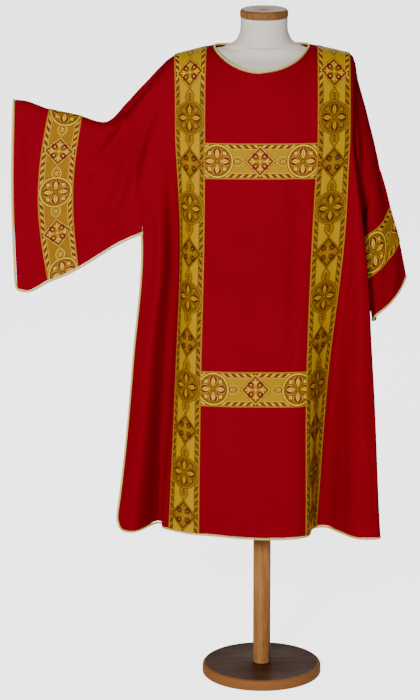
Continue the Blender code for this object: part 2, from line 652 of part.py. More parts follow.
# ---------------------------------------------------------------- the whole part
def garment():
    cloth = material("red cloth", (0.33, 0.002, 0.006), 0.85)
    gold = material("gold galloon", (0.62, 0.42, 0.03), 0.45, 0.25)
    piping = material("gold piping", (0.72, 0.60, 0.28), 0.45, 0.25)
    panels = []
    for name, folds, side in (("front", FRONT_FOLDS, -1), ("back", BACK_FOLDS, 1)):
        rows, columns = panel_grid(folds, side)
        normals = body_panel("body_" + name, rows, side, cloth)
        panels.append((rows, normals, side, columns))
        walk = [(i, 0) for i in range(ARM_ROW, HEM_ROW + 1)]
        walk += [(HEM_ROW, j) for j in range(1, len(rows[0]))]
        walk += [(i, len(rows[0]) - 1) for i in range(HEM_ROW - 1, ARM_ROW - 1, -1)]
        cord(name + "_piping", rim_walk(rows, normals, walk), piping, (CORNER_TRIM, CORNER_TRIM))
        for place, first_row in (("chest", YOKE_ROW), ("skirt", HIP_ROW)):
            first, last = columns["band_r_in"], columns["band_l_in"]
            band = [[p.copy() for p in line] for line in part_of(rows, first_row, first_row + 1, first, last)]
            for line in band:
                line[0] = line[0] + (line[1] - line[0]).normalized() * SEAM_GAP
                line[-1] = line[-1] + (line[-2] - line[-1]).normalized() * SEAM_GAP
            braid("band_%s_%s" % (name, place), band,
                  part_of(normals, first_row, first_row + 1, first, last), gold)
    neck_piping(panels, piping)
    for hand in ("r", "l"):
        shoulder_band(panels, hand, gold)
    sewn = [entry[:3] for entry in panels]
    raised, raised_normals = sleeve("sleeve_right", raised_sleeve_half, sewn, 0, piping, cloth,
                                    -1, 0, SEAM_GAP)
    hanging, hanging_normals = sleeve("sleeve_left", hanging_sleeve_half, sewn, -1, piping, cloth,
                                      1, 1, FOLDED_CORD_GAP)
    for name, rows, normals, sections in (("right", raised, raised_normals, RAISED_SLEEVE),
                                          ("left", hanging, hanging_normals, HANGING_SLEEVE)):
        first = section_column(sections, "band_in", 2)
        last = section_column(sections, "band_out", 2)
        braid("band_sleeve_" + name, part_of(rows, 0, len(rows) - 1, first, last),
              part_of(normals, 0, len(rows) - 1, first, last), gold, BACK_LEAF_ROWS)


def neck_piping(panels, finish):
    """Closed ring of piping inside the neck opening."""
    walk = []
    for rows, normals, side, columns in panels:
        span = range(columns["neck_r"], columns["neck_l"] + 1)
        if side > 0:
            span = reversed(span[1:-1])
        for j in span:
            point = rows[0][j]
            beyond = 2 * point - Vector((NECK_CENTRE, 0.0, point.z))
            walk.append((point, beyond, normals[0][j]))
    cord("neck_piping", walk, finish, closed=True, gap=NECK_CORD_GAP)


def shoulder_band(panels, hand, finish):
    """Galloon from the front hem over the shoulder to the back hem."""
    (front, front_normals, _, front_columns), (back, back_normals, _, back_columns) = panels
    names = sorted(("band_%s_in" % hand, "band_%s_out" % hand), key=lambda n: front_columns[n])
    line_up = []
    lifts = []
    for rows, normals, columns in ((front, front_normals, front_columns), (back, back_normals, back_columns)):
        first, last = columns[names[0]], columns[names[1]]
        line_up.append(part_of(rows, 0, HEM_ROW, first, last))
        lifts.append(part_of(normals, 0, HEM_ROW, first, last))
    over = [[(a + b) / 2 for a, b in zip(line_up[0][0], line_up[1][0])]]
    over_normals = [[(a + b).normalized() for a, b in zip(lifts[0][0], lifts[1][0])]]
    braid("band_shoulder_" + ("right" if hand == "r" else "left"),
          line_up[0][:0:-1] + over + line_up[1][1:],
          lifts[0][:0:-1] + over_normals + lifts[1][1:], finish, turned_rows=range(HEM_ROW))


def stand():
    dark_wood = material("dark wood", (0.13, 0.035, 0.015), 0.35)
    beech = material("beech", (0.45, 0.22, 0.09), 0.4)
    form_cloth = material("form cover", (0.72, 0.70, 0.66), 0.9)
    lathe_disc("stand_base", BASE_RADIUS, 0.0, BASE_HEIGHT, BASE_EDGE, 48, dark_wood)
    lathe_disc("stand_pole", POLE_RADIUS, BASE_HEIGHT + SEAM_GAP, FORM_BOTTOM - SEAM_GAP, 0.0, 24, beech)
    lathe_disc("neck_cap", CAP_RADIUS, STAND_HEIGHT - CAP_HEIGHT, STAND_HEIGHT, 0.006, 32, beech)
    dress_form(form_cloth)


for leftover in list(bpy.data.objects):
    bpy.data.objects.remove(leftover, do_unlink=True)
garment()
stand()
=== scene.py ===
"""The dalmatic and its dress form, dressed in cloth, galloon, piping and wood."""
import math

import bmesh
import bpy
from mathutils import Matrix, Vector


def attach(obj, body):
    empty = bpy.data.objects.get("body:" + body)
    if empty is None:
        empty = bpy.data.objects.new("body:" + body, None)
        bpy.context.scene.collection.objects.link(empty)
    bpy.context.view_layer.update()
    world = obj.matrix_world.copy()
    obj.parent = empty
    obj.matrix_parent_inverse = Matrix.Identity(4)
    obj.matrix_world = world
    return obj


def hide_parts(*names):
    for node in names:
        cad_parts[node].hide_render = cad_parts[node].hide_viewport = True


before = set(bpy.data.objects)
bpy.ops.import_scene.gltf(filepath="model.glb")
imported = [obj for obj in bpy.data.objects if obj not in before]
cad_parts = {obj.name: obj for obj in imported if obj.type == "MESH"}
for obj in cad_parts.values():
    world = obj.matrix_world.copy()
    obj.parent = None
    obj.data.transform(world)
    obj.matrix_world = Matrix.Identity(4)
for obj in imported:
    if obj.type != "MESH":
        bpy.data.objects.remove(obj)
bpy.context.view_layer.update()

# ------------------------------------------------------------------ base of the stand
# A turned disc of beech, stained dark brown and lacquered, with a rounded upper edge
# and a paler band round its rim.  It stands flat on the floor.
BASE_RADIUS = 0.150
BASE_HEIGHT = 0.027
BASE_ROUNDING = 0.0095
BASE_FOOT_EASE = 0.0035
BASE_STEPS = ((0.1105, 0.0), (0.0030, -0.0012))   # width and depth of each step in to the pole's seat
PALE_RIM_FROM = 0.0085           # the paler band fades in between these two depths from the rim
PALE_RIM_TO = 0.0015
SAME_HEIGHT = 1e-5           # heights closer than this count as one
ROUND_PROFILE = 0.5


def add_turned(name, radius, low, high, sides):
    """A plain cylinder, alone in the selection and in edit mode."""
    bpy.ops.object.select_all(action="DESELECT")
    bpy.ops.mesh.primitive_cylinder_add(
        vertices=sides, radius=radius, depth=high - low, location=(0.0, 0.0, (low + high) / 2))
    piece = bpy.context.object
    piece.name = name
    piece.data.name = name
    bpy.ops.object.transform_apply(location=True, rotation=True, scale=True)
    bpy.ops.object.mode_set(mode="EDIT")
    bpy.ops.mesh.select_all(action="DESELECT")
    bpy.ops.mesh.select_mode(type="EDGE")
    return piece


def choose_rim(piece, height):
    """Select the circle of edges at one height."""
    bpy.ops.mesh.select_all(action="DESELECT")
    shape = bmesh.from_edit_mesh(piece.data)
    for edge in shape.edges:
        edge.select = all(abs(vert.co.z - height) < SAME_HEIGHT for vert in edge.verts)
    shape.select_flush(True)
    bmesh.update_edit_mesh(piece.data)


def ease_rim(piece, height, size, segments):
    """Round over the circle of edges at one height."""
    choose_rim(piece, height)
    bpy.ops.mesh.bevel(offset=size, segments=segments, profile=ROUND_PROFILE, affect="EDGES")


def step_in(piece, height, steps):
    """Inset the round face at one height, once for each width and depth."""
    bpy.ops.mesh.select_mode(type="FACE")
    bpy.ops.mesh.select_all(action="DESELECT")
    shape = bmesh.from_edit_mesh(piece.data)
    for face in shape.faces:
        level = abs(face.calc_center_median().z - height) < SAME_HEIGHT
        face.select = level and abs(face.normal.z) > 0.99
    shape.select_flush(True)
    bmesh.update_edit_mesh(piece.data)
    for width, depth in steps:
        bpy.ops.mesh.inset(thickness=width, depth=depth)


def smooth_finish(piece, finish, angle=40.0):
    """Leave edit mode, shade smooth and put the finish on."""
    if piece.mode == "EDIT":
        bpy.ops.object.mode_set(mode="OBJECT")
    bpy.ops.object.select_all(action="DESELECT")
    piece.select_set(True)
    bpy.context.view_layer.objects.active = piece
    bpy.ops.object.shade_smooth_by_angle(angle=math.radians(angle))
    piece.data.materials.clear()
    piece.data.materials.append(finish)


def colour(red, green, blue):
    """A colour in the shader's own scale from the usual 0 to 255."""
    return tuple((v / 255.0 / 12.92) if v <= 10 else ((v / 255.0 + 0.055) / 1.055) ** 2.4
                 for v in (red, green, blue)) + (1.0,)


def put(tree, socket, value):
    """A fixed value or a link into a shader socket."""
    if isinstance(value, bpy.types.NodeSocket):
        tree.links.new(value, socket)
    elif value is not None:
        socket.default_value = value


def calc(tree, operation, *values):
    """One step of arithmetic in a shader."""
    node = tree.nodes.new("ShaderNodeMath")
    node.operation = operation
    for socket, value in zip(node.inputs, values):
        put(tree, socket, value)
    return node.outputs[0]


def clamped(tree, value):
    """A value kept between 0 and 1."""
    return calc(tree, "MINIMUM", calc(tree, "MAXIMUM", value, 0.0), 1.0)


def darker(tone, share):
    """A colour with its light cut to a share."""
    return tuple(share * v for v in tone[:3]) + (1.0,)


def blend_over(tree, under, over, share):
    """One colour laid over another by a share from 0 to 1."""
    node = tree.nodes.new("ShaderNodeMix")
    node.data_type = "RGBA"
    put(tree, node.inputs[0], share)
    put(tree, node.inputs[6], under)
    put(tree, node.inputs[7], over)
    return node.outputs[2]


def speckle(tree, at, scale, detail=3.0, roughness=0.55):
    """Cloudy noise from 0 to 1."""
    node = tree.nodes.new("ShaderNodeTexNoise")
    put(tree, node.inputs["Vector"], at)
    node.inputs["Scale"].default_value = scale
    node.inputs["Detail"].default_value = detail
    node.inputs["Roughness"].default_value = roughness
    return node.outputs[0]


def stretched(tree, at, factors):
    """Coordinates drawn out along some axes."""
    node = tree.nodes.new("ShaderNodeMapping")
    put(tree, node.inputs["Vector"], at)
    node.inputs["Scale"].default_value = factors
    return node.outputs[0]


def raised(tree, height, strength, distance):
    """A fine relief, as a normal."""
    node = tree.nodes.new("ShaderNodeBump")
    node.inputs["Strength"].default_value = strength
    node.inputs["Distance"].default_value = distance
    put(tree, node.inputs["Height"], height)
    return node.outputs[0]


def new_finish(name, roughness, metallic=0.0, sheen=0.0):
    """A finish with its even values set, together with its node tree and its shader."""
    finish = bpy.data.materials.new(name)
    finish.use_nodes = True
    shader = finish.node_tree.nodes["Principled BSDF"]
    shader.inputs["Roughness"].default_value = roughness
    shader.inputs["Metallic"].default_value = metallic
    shader.inputs["Sheen Weight"].default_value = sheen
    return finish, finish.node_tree, shader


GRAIN_CONTRAST = 2.6
PORE_FINENESS = 4.2          # against the grain's own scale
PORE_LIMIT = 0.64            # the noise above this is a pore
PORE_SHARE = 0.5
PORE_DEPTH = 0.45            # share of the dark colour's light left in a pore
PALE_RIM_WAVER = 0.004            # the paler band wanders this far with the grain


def wood_finish(name, pale, dark, grain, rim_colour=None):
    """Lacquered wood: long grain along grain's small factor, pores and, given a rim colour, a paler band at
    the rim.
    """
    finish, tree, shader = new_finish(name, 0.60)
    shader.inputs["Specular IOR Level"].default_value = 0.06
    place = tree.nodes.new("ShaderNodeTexCoord").outputs["Object"]
    pore_scale = tuple(PORE_FINENESS * factor for factor in grain)
    rings = speckle(tree, stretched(tree, place, grain), 1.0, 5.0, 0.62)
    pores = speckle(tree, stretched(tree, place, pore_scale), 1.0, 2.0, 0.7)
    share = calc(tree, "MULTIPLY_ADD", calc(tree, "SUBTRACT", rings, 0.5), GRAIN_CONTRAST, 0.5)
    tone = blend_over(tree, pale, dark, clamped(tree, share))
    pore_share = calc(tree, "MULTIPLY", calc(tree, "GREATER_THAN", pores, PORE_LIMIT), PORE_SHARE)
    tone = blend_over(tree, tone, darker(dark, PORE_DEPTH), pore_share)
    # A paler colour towards the rim, in a band that wanders with the grain.
    if rim_colour is not None:
        parts = tree.nodes.new("ShaderNodeSeparateXYZ")
        put(tree, parts.inputs[0], place)
        squares = [calc(tree, "MULTIPLY", parts.outputs[axis], parts.outputs[axis]) for axis in (0, 1)]
        reach = calc(tree, "SQRT", calc(tree, "ADD", *squares))
        edge = tree.nodes.new("ShaderNodeMapRange")
        edge.interpolation_type = "SMOOTHSTEP"
        put(tree, edge.inputs[0], calc(tree, "MULTIPLY_ADD", rings, PALE_RIM_WAVER, reach))
        edge.inputs[1].default_value = BASE_RADIUS - PALE_RIM_FROM
        edge.inputs[2].default_value = BASE_RADIUS - PALE_RIM_TO
        tone = blend_over(tree, tone, rim_colour, edge.outputs[0])
    put(tree, shader.inputs["Base Color"], tone)
    put(tree, shader.inputs["Roughness"], calc(tree, "MULTIPLY_ADD", rings, 0.16, 0.34))
    put(tree, shader.inputs["Normal"], raised(tree, rings, 0.25, 0.0006))
    return finish


dark_wood = wood_finish("dark stained beech", colour(88, 56, 36), colour(58, 32, 18),
                        (9.0, 55.0, 9.0), colour(150, 96, 50))
base = add_turned("round_base", BASE_RADIUS, 0.0, BASE_HEIGHT, 160)
ease_rim(base, BASE_HEIGHT, BASE_ROUNDING, 7)
ease_rim(base, 0.0, BASE_FOOT_EASE, 3)
step_in(base, BASE_HEIGHT, BASE_STEPS)
smooth_finish(base, dark_wood)
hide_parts("stand_base")
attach(base, "root")

# ------------------------------------------------------------------ pole
# A turned beech pole with a golden lacquer.  Its foot is eased and sits in the base's
# shallow round seat, with a fine groove above it, and its top goes up into the form.
POLE_RADIUS = 0.022
POLE_FOOT = 0.0262
POLE_TOP = 0.8797
POLE_FOOT_EASE = 0.0022
POLE_TOP_EASE = 0.0015
GROOVE_HEIGHT = 0.046
GROOVE_TOP = 0.0485
GROOVE_SHARE = 0.965         # the pole's radius in the groove

golden_beech = wood_finish("lacquered beech", colour(186, 132, 78), colour(146, 92, 48), (60.0, 60.0, 5.0))
pole = add_turned("turned_pole", POLE_RADIUS, POLE_FOOT, POLE_TOP, 72)
ease_rim(pole, POLE_FOOT, POLE_FOOT_EASE, 4)
ease_rim(pole, POLE_TOP, POLE_TOP_EASE, 2)
for height in (GROOVE_HEIGHT, GROOVE_TOP):
    bpy.ops.mesh.select_all(action="SELECT")
    bpy.ops.mesh.bisect(plane_co=(0.0, 0.0, height), plane_no=(0.0, 0.0, 1.0))
choose_rim(pole, GROOVE_HEIGHT)
bpy.ops.transform.resize(value=(GROOVE_SHARE, GROOVE_SHARE, 1.0), center_override=(0.0, 0.0, GROOVE_HEIGHT))
smooth_finish(pole, golden_beech, 50.0)
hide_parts("stand_pole")
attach(pole, "root")

# ------------------------------------------------------------------ neck cap
# The wooden disc that closes the form's neck: rounded over at its upper edge, with a
# shallow dish and a small plugged screw hole on top.
CAP_RADIUS = 0.0585
CAP_LOW = 1.680
CAP_HIGH = 1.700
CAP_ROUNDING = 0.0075
CAP_UNDER_EASE = 0.0030
CAP_STEPS = ((0.012, -0.0006), (0.0315, -0.0004), (0.0008, 0.0006))   # in to the plug

cap_wood = wood_finish("neck cap beech", colour(160, 110, 62), colour(116, 74, 38), (14.0, 90.0, 14.0))
cap = add_turned("neck_disc", CAP_RADIUS, CAP_LOW, CAP_HIGH, 96)
ease_rim(cap, CAP_HIGH, CAP_ROUNDING, 7)
ease_rim(cap, CAP_LOW, CAP_UNDER_EASE, 4)
step_in(cap, CAP_HIGH, CAP_STEPS)
smooth_finish(cap, cap_wood)
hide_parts("neck_cap")
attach(cap, "root")

# ------------------------------------------------------------------ dress form
# A limbless moulded form covered in off-white stretch cotton, which is pulled over it
# and sewn down the centre, the sides and the princess lines.  The garment's shoulders
# rest on it.
WALL = 0.0020                # the garment's cloth with its interfacing
CROWN_DROP = 0.0034          # the form's crown lies this far under the cloth
CROWN_EASE = 0.0015          # and its rings are this much smaller than their table
FORM_SIDES = 192
FORM_SPLIT = 5               # fine rings to each step of the tables
SEAM_DEPTH = 0.0010
SEAM_REACH = 1.3             # half the width of a seam's dip, in degrees
SEAM_TURNS = (0.0, 52.0, 90.0, 128.0, 180.0, 232.0, 270.0, 308.0)   # degrees round from +X

# Top line of the garment: x, z.  It runs from the seam of the raised sleeve over
# both shoulders and down the folded top of the hanging sleeve to that sleeve's seam.
RIDGE = (
    (-0.3280, 1.4750),
    (-0.3060, 1.5000),
    (-0.2820, 1.5250),
    (-0.2600, 1.5490),
    (-0.2360, 1.5730),
    (-0.2150, 1.5880),
    (-0.1260, 1.6105),
    (0.1140, 1.6125),
    (0.2080, 1.5910),
    (0.2165, 1.5830),
    (0.2230, 1.5650),
    (0.2315, 1.5247),
    (0.2442, 1.4752),
    (0.2570, 1.4256),
    (0.2697, 1.3759),
    (0.2830, 1.3160),
)
# Horizontal rings of the dress form below the shoulders: height, half width, front, back.
FORM_RINGS = (
    (0.8800, 0.150, 0.100, 0.092),
    (0.8860, 0.162, 0.112, 0.103),
    (0.9400, 0.170, 0.117, 0.110),
    (1.0000, 0.172, 0.117, 0.112),
    (1.0800, 0.160, 0.109, 0.102),
    (1.1500, 0.150, 0.103, 0.095),
    (1.2200, 0.157, 0.106, 0.100),
    (1.3000, 0.172, 0.114, 0.110),
    (1.3800, 0.184, 0.118, 0.117),
    (1.4400, 0.193, 0.114, 0.117),
    (1.5000, 0.203, 0.103, 0.108),
    (1.5400, 0.208, 0.090, 0.094),
    (1.5680, 0.209, 0.070, 0.070),
)
# The crown of the shoulders follows the cloth's fold: half width, half depth, pinch
# (1 is an ellipse, more draws the ring in between neck and shoulder).
SHOULDER_RINGS = (
    (0.204, 0.048, 1.00),
    (0.190, 0.046, 1.10),
    (0.165, 0.044, 1.20),
    (0.132, 0.044, 1.45),
    (0.105, 0.046, 1.50),
)
# The neck: height, half width, half depth, pinch.
NECK_RINGS = (
    (1.6140, 0.085, 0.0555, 1.30),
    (1.6230, 0.069, 0.0560, 1.12),
    (1.6400, 0.060, 0.0560, 1.00),
    (1.6797, 0.0570, 0.0560, 1.00),
)
BODY_FULLNESS = 0.90         # pinch of the rings below the shoulders
SHORTEST_STEP = 1e-5


def hermite(knots, values, at, start_slope=None):
    """Smooth curve through values at rising (or falling) knots."""
    last = len(knots) - 1
    span = 0
    while span < last - 1 and (at - knots[span + 1]) * (knots[-1] - knots[0]) > 0:
        span += 1

    def secant(index):
        return (values[index + 1] - values[index]) / (knots[index + 1] - knots[index])

    def slope(index):
        if index == 0:
            return secant(0) if start_slope is None else start_slope
        if index == last:
            return secant(last - 1)
        before = knots[index] - knots[index - 1]
        after = knots[index + 1] - knots[index]
        return (secant(index - 1) * after + secant(index) * before) / (before + after)

    width = knots[span + 1] - knots[span]
    t = (at - knots[span]) / width
    return ((2 * t ** 3 - 3 * t ** 2 + 1) * values[span]
            + (t ** 3 - 2 * t ** 2 + t) * width * slope(span)
            + (3 * t ** 2 - 2 * t ** 3) * values[span + 1]
            + (t ** 3 - t ** 2) * width * slope(span + 1))


def polyline(pairs, at):
    """Straight interpolation in a table of (x, value) pairs."""
    for (x0, v0), (x1, v1) in zip(pairs, pairs[1:]):
        if at <= x1:
            return v0 + (v1 - v0) * max(0.0, at - x0) / (x1 - x0)
    return pairs[-1][1]


def through(points, knots, at):
    """Point on the smooth curve through 3-D points."""
    return Vector([hermite(knots, [p[axis] for p in points], at) for axis in range(3)])


def chord_knots(points):
    """Distance of every point along a line from its start."""
    knots = [0.0]
    for a, b in zip(points, points[1:]):
        knots.append(knots[-1] + max((b - a).length, SHORTEST_STEP))
    return knots


def ridge_height(x):
    """Height of the garment's top line."""
    return polyline(RIDGE, x)


def form_point(turn, height, half_width, front, back, pinch):
    """Point of one ring of the form, a turn round from +X."""
    c, s = math.cos(turn), math.sin(turn)
    depth = back if s > 0 else front
    return Vector((half_width * math.copysign(abs(c) ** pinch, c),
                   depth * math.copysign(abs(s) ** pinch, s), height))


def ring_faces(start, rings, sides, closed=False):
    """Faces that join rings of points one after another, with flat ends unless closed."""
    faces = []
    for ring in range(rings if closed else rings - 1):
        low = start + ring * sides
        high = start + (ring + 1) % rings * sides
        for side in range(sides):
            other = (side + 1) % sides
            faces.append((low + side, low + other, high + other, high + side))
    if not closed:
        faces.append(tuple(range(start, start + sides)))
        faces.append(tuple(range(start + (rings - 1) * sides, start + rings * sides)))
    return faces


def solid_mesh(name, verts, faces, finish, corner_uvs=None, angle=45.0):
    """An object from points and faces, facing outwards, smooth but for sharp turns."""
    mesh = bpy.data.meshes.new(name)
    mesh.from_pydata([tuple(v) for v in verts], [], faces)
    if corner_uvs is not None:
        layer = mesh.uv_layers.new(name="UVMap")
        for loop in mesh.loops:
            layer.data[loop.index].uv = corner_uvs[loop.vertex_index]
    shape = bmesh.new()
    shape.from_mesh(mesh)
    bmesh.ops.recalc_face_normals(shape, faces=shape.faces)
    shape.to_mesh(mesh)
    shape.free()
    mesh.materials.append(finish)
    mesh.shade_smooth()
    mesh.set_sharp_from_angle(angle=math.radians(angle))
    piece = bpy.data.objects.new(name, mesh)
    bpy.context.collection.objects.link(piece)
    return piece


def cover_finish():
    """Stretch cotton: a fine knit that has greyed a little where it is handled."""
    finish, tree, shader = new_finish("off-white stretch cotton", 0.88, sheen=0.15)
    place = tree.nodes.new("ShaderNodeTexCoord").outputs["Object"]
    soil = speckle(tree, place, 7.0, 4.0)
    knit = speckle(tree, stretched(tree, place, (900.0, 900.0, 520.0)), 1.0, 1.0)
    tone = blend_over(tree, colour(248, 240, 230), colour(228, 216, 202), soil)
    tone = blend_over(tree, tone, colour(196, 188, 176), calc(tree, "MULTIPLY", knit, 0.25))
    put(tree, shader.inputs["Base Color"], tone)
    put(tree, shader.inputs["Normal"], raised(tree, knit, 0.3, 0.0003))
    return finish


def form_rings():
    """All rings of the form from its foot to its neck: height, half width, front, back, pinch."""
    rings = [tuple(row) + (BODY_FULLNESS,) for row in FORM_RINGS]
    for half_width, depth, pinch in SHOULDER_RINGS:
        crown = min(ridge_height(half_width), ridge_height(-half_width)) - WALL - CROWN_DROP
        rings.append((crown, half_width - CROWN_EASE, depth - CROWN_EASE, depth - CROWN_EASE, pinch))
    for height, half_width, depth, pinch in NECK_RINGS:
        rings.append((height, half_width, depth, depth, pinch))
    return rings


form_cover = cover_finish()
rings = form_rings()
meridians = []
for side in range(FORM_SIDES):
    turn = 2 * math.pi * side / FORM_SIDES
    points = [form_point(turn, *ring) for ring in rings]
    knots = chord_knots(points)
    seam = min(abs((math.degrees(turn) - at + 180.0) % 360.0 - 180.0) for at in SEAM_TURNS)
    sunk = SEAM_DEPTH * math.exp(-(seam / SEAM_REACH) ** 2)
    line = []
    for span in range(len(points) - 1):
        for step in range(FORM_SPLIT):
            at = knots[span] + (knots[span + 1] - knots[span]) * step / FORM_SPLIT
            point = through(points, knots, at)
            out = Vector((point.x, point.y, 0.0)).normalized()
            line.append(point - out * sunk)
    meridians.append(line + [points[-1]])
height_count = len(meridians[0])
form_verts = [meridians[side][k] for k in range(height_count) for side in range(FORM_SIDES)]
form_faces = ring_faces(0, height_count, FORM_SIDES)
torso = solid_mesh("covered_form", form_verts, form_faces, form_cover, angle=60.0)
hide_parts("form_torso")
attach(torso, "root")

# ------------------------------------------------------------------ front and back
# Two widths of matt red wool blend, interfaced, cut with one slope from shoulder to
# hem and sewn to each other only along the shoulders, so the sides hang open.  The
# tables hold the large folds, and the creases are pressed in after them.
SEAM_GAP = 0.0003
YOKE_HEIGHT = 1.393          # upper edge of the chest band
ARM_HEIGHT = 1.158           # underarm corner
HIP_HEIGHT = 0.829           # upper edge of the skirt band
HEM_HEIGHT = 0.410
BAND_WIDTH = 0.088           # all galloons
YOKE_SHARE = 0.60            # the yoke's height between underarm and top line, where that is low
CORNER_LIFT = 0.020          # the raised side's lower corner turns up by this
CORNER_REACH = 0.034         # inwards from the free edge
CORNER_HEIGHT = 0.08         # and upwards from the hem

# The neck opening, as half ovals in front and behind: how far each reaches out and drops.
NECK_CENTRE = -0.006
NECK_HALF_WIDTH = 0.118
NECK_FRONT_REACH = 0.101
NECK_FRONT_DROP = 0.052
NECK_BACK_REACH = 0.070
NECK_BACK_DROP = 0.012
NECK_CURVE = 1.5             # the drop's curve: more is flatter at the corners
NECK_CORNER = 1.0001         # just past the opening's corner, where the middle is 0

# Fold lines of the front, from the raised side to the hanging side.  "steps" is the
# number of steps to the next fold; the rest is x at the ridge, then x, y at the yoke,
# underarm, hip and hem.
FRONT_FOLDS = (
    # name         steps  ridge    yoke             underarm         hip              hem
    ("free_edge",     2, -0.328, (-0.321, -0.046), (-0.296, -0.053), (-0.320, -0.068), (-0.361, -0.090)),
    ("flare",         2, -0.291, (-0.287, -0.066), (-0.258, -0.078), (-0.282, -0.094), (-0.328, -0.114)),
    ("valley",        1, -0.262, (-0.250, -0.074), (-0.217, -0.047), (-0.234, -0.046), (-0.255, -0.034)),
    ("tuck",          1, -0.248, (-0.238, -0.075), (-0.210, -0.048), (-0.223, -0.056), (-0.246, -0.052)),
    ("fold_edge",     1, -0.236, (-0.228, -0.075), (-0.207, -0.054), (-0.221, -0.068), (-0.252, -0.070)),
    ("band_r_out",    3, -0.217, (-0.2145, -0.081), (-0.203, -0.064), (-0.2135, -0.080), (-0.2334, -0.090)),
    ("band_r_in",     1, -0.138, (-0.1430, -0.117), (-0.1445, -0.125), (-0.1525, -0.141), (-0.1582, -0.133)),
    ("neck_r",        3, -0.124, (-0.127, -0.119), (-0.127, -0.127), (-0.130, -0.144), (-0.128, -0.140)),
    ("breast_r",      2, -0.090, (-0.085, -0.123), (-0.085, -0.129), (-0.090, -0.149), (-0.075, -0.157)),
    ("centre",        2, 0.000, (-0.005, -0.124), (-0.005, -0.130), (-0.010, -0.151), (0.000, -0.170)),
    ("breast_l",      3, 0.078, (0.080, -0.122), (0.075, -0.129), (0.065, -0.151), (0.060, -0.168)),
    ("neck_l",        1, 0.112, (0.117, -0.119), (0.104, -0.127), (0.092, -0.148), (0.094, -0.157)),
    ("band_l_in",     3, 0.129, (0.1288, -0.117), (0.1165, -0.124), (0.1050, -0.142), (0.1049, -0.151)),
    ("band_l_out",    1, 0.208, (0.2080, -0.081), (0.1975, -0.089), (0.1620, -0.077), (0.1345, -0.071)),
    ("hollow",        2, 0.2145, (0.2115, -0.080), (0.206, -0.088), (0.175, -0.071), (0.1532, -0.068)),
    ("skirt_rise",    2, 0.2180, (0.2135, -0.080), (0.218, -0.096), (0.205, -0.094), (0.1883, -0.109)),
    ("skirt_crest",   2, 0.2215, (0.2145, -0.077), (0.234, -0.104), (0.243, -0.124), (0.240, -0.166)),
    ("side_fold",     2, 0.2245, (0.2150, -0.070), (0.244, -0.098), (0.271, -0.113), (0.289, -0.160)),
    ("side_return",   2, 0.2285, (0.2140, -0.052), (0.234, -0.072), (0.259, -0.080), (0.282, -0.115)),
    ("sleeve_ridge",  2, 0.2420, (0.2300, -0.050), (0.224, -0.052), (0.251, -0.056), (0.277, -0.085)),
    ("sleeve_valley", 2, 0.2570, (0.2420, -0.036), (0.222, -0.034), (0.246, -0.036), (0.271, -0.060)),
    ("free_edge_l",   0, 0.2830, (0.2640, -0.028), (0.236, -0.022), (0.244, -0.018), (0.267, -0.038)),
)

# Fold lines of the back, in the same columns and from the same side.
BACK_FOLDS = (
    # name         steps  ridge    yoke             underarm        hip             hem
    ("free_edge",     2, -0.328, (-0.319, 0.050), (-0.288, 0.054), (-0.306, 0.064), (-0.338, 0.080)),
    ("flare",         2, -0.285, (-0.280, 0.076), (-0.249, 0.084), (-0.270, 0.104), (-0.308, 0.126)),
    ("valley",        2, -0.250, (-0.242, 0.084), (-0.219, 0.068), (-0.232, 0.080), (-0.254, 0.092)),
    ("band_r_out",    3, -0.217, (-0.2145, 0.083), (-0.198, 0.078), (-0.206, 0.094), (-0.218, 0.116)),
    ("band_r_in",     1, -0.138, (-0.1400, 0.125), (-0.132, 0.130), (-0.135, 0.143), (-0.140, 0.160)),
    ("neck_r",        3, -0.124, (-0.122, 0.128), (-0.115, 0.132), (-0.117, 0.144), (-0.118, 0.160)),
    ("blade_r",       2, -0.090, (-0.080, 0.130), (-0.070, 0.126), (-0.070, 0.140), (-0.066, 0.152)),
    ("centre",        2, 0.000, (0.000, 0.128), (0.000, 0.124), (0.000, 0.146), (0.000, 0.170)),
    ("blade_l",       3, 0.078, (0.080, 0.130), (0.072, 0.127), (0.070, 0.141), (0.070, 0.156)),
    ("neck_l",        1, 0.112, (0.116, 0.128), (0.112, 0.132), (0.112, 0.145), (0.110, 0.164)),
    ("band_l_in",     3, 0.129, (0.1320, 0.125), (0.130, 0.130), (0.130, 0.144), (0.130, 0.165)),
    ("band_l_out",    2, 0.208, (0.2050, 0.082), (0.198, 0.078), (0.201, 0.093), (0.204, 0.118)),
    ("skirt_rise",    2, 0.2175, (0.2120, 0.078), (0.222, 0.084), (0.234, 0.100), (0.238, 0.118)),
    ("side_fold",     2, 0.2240, (0.2150, 0.068), (0.240, 0.092), (0.264, 0.112), (0.280, 0.140)),
    ("side_return",   2, 0.2285, (0.2140, 0.052), (0.234, 0.070), (0.257, 0.080), (0.276, 0.108)),
    ("sleeve_ridge",  2, 0.2420, (0.2300, 0.050), (0.224, 0.052), (0.251, 0.056), (0.272, 0.082)),
    ("sleeve_valley", 2, 0.2570, (0.2420, 0.036), (0.222, 0.034), (0.246, 0.036), (0.268, 0.060)),
    ("free_edge_l",   0, 0.2830, (0.2640, 0.028), (0.236, 0.022), (0.244, 0.018), (0.264, 0.040)),
)

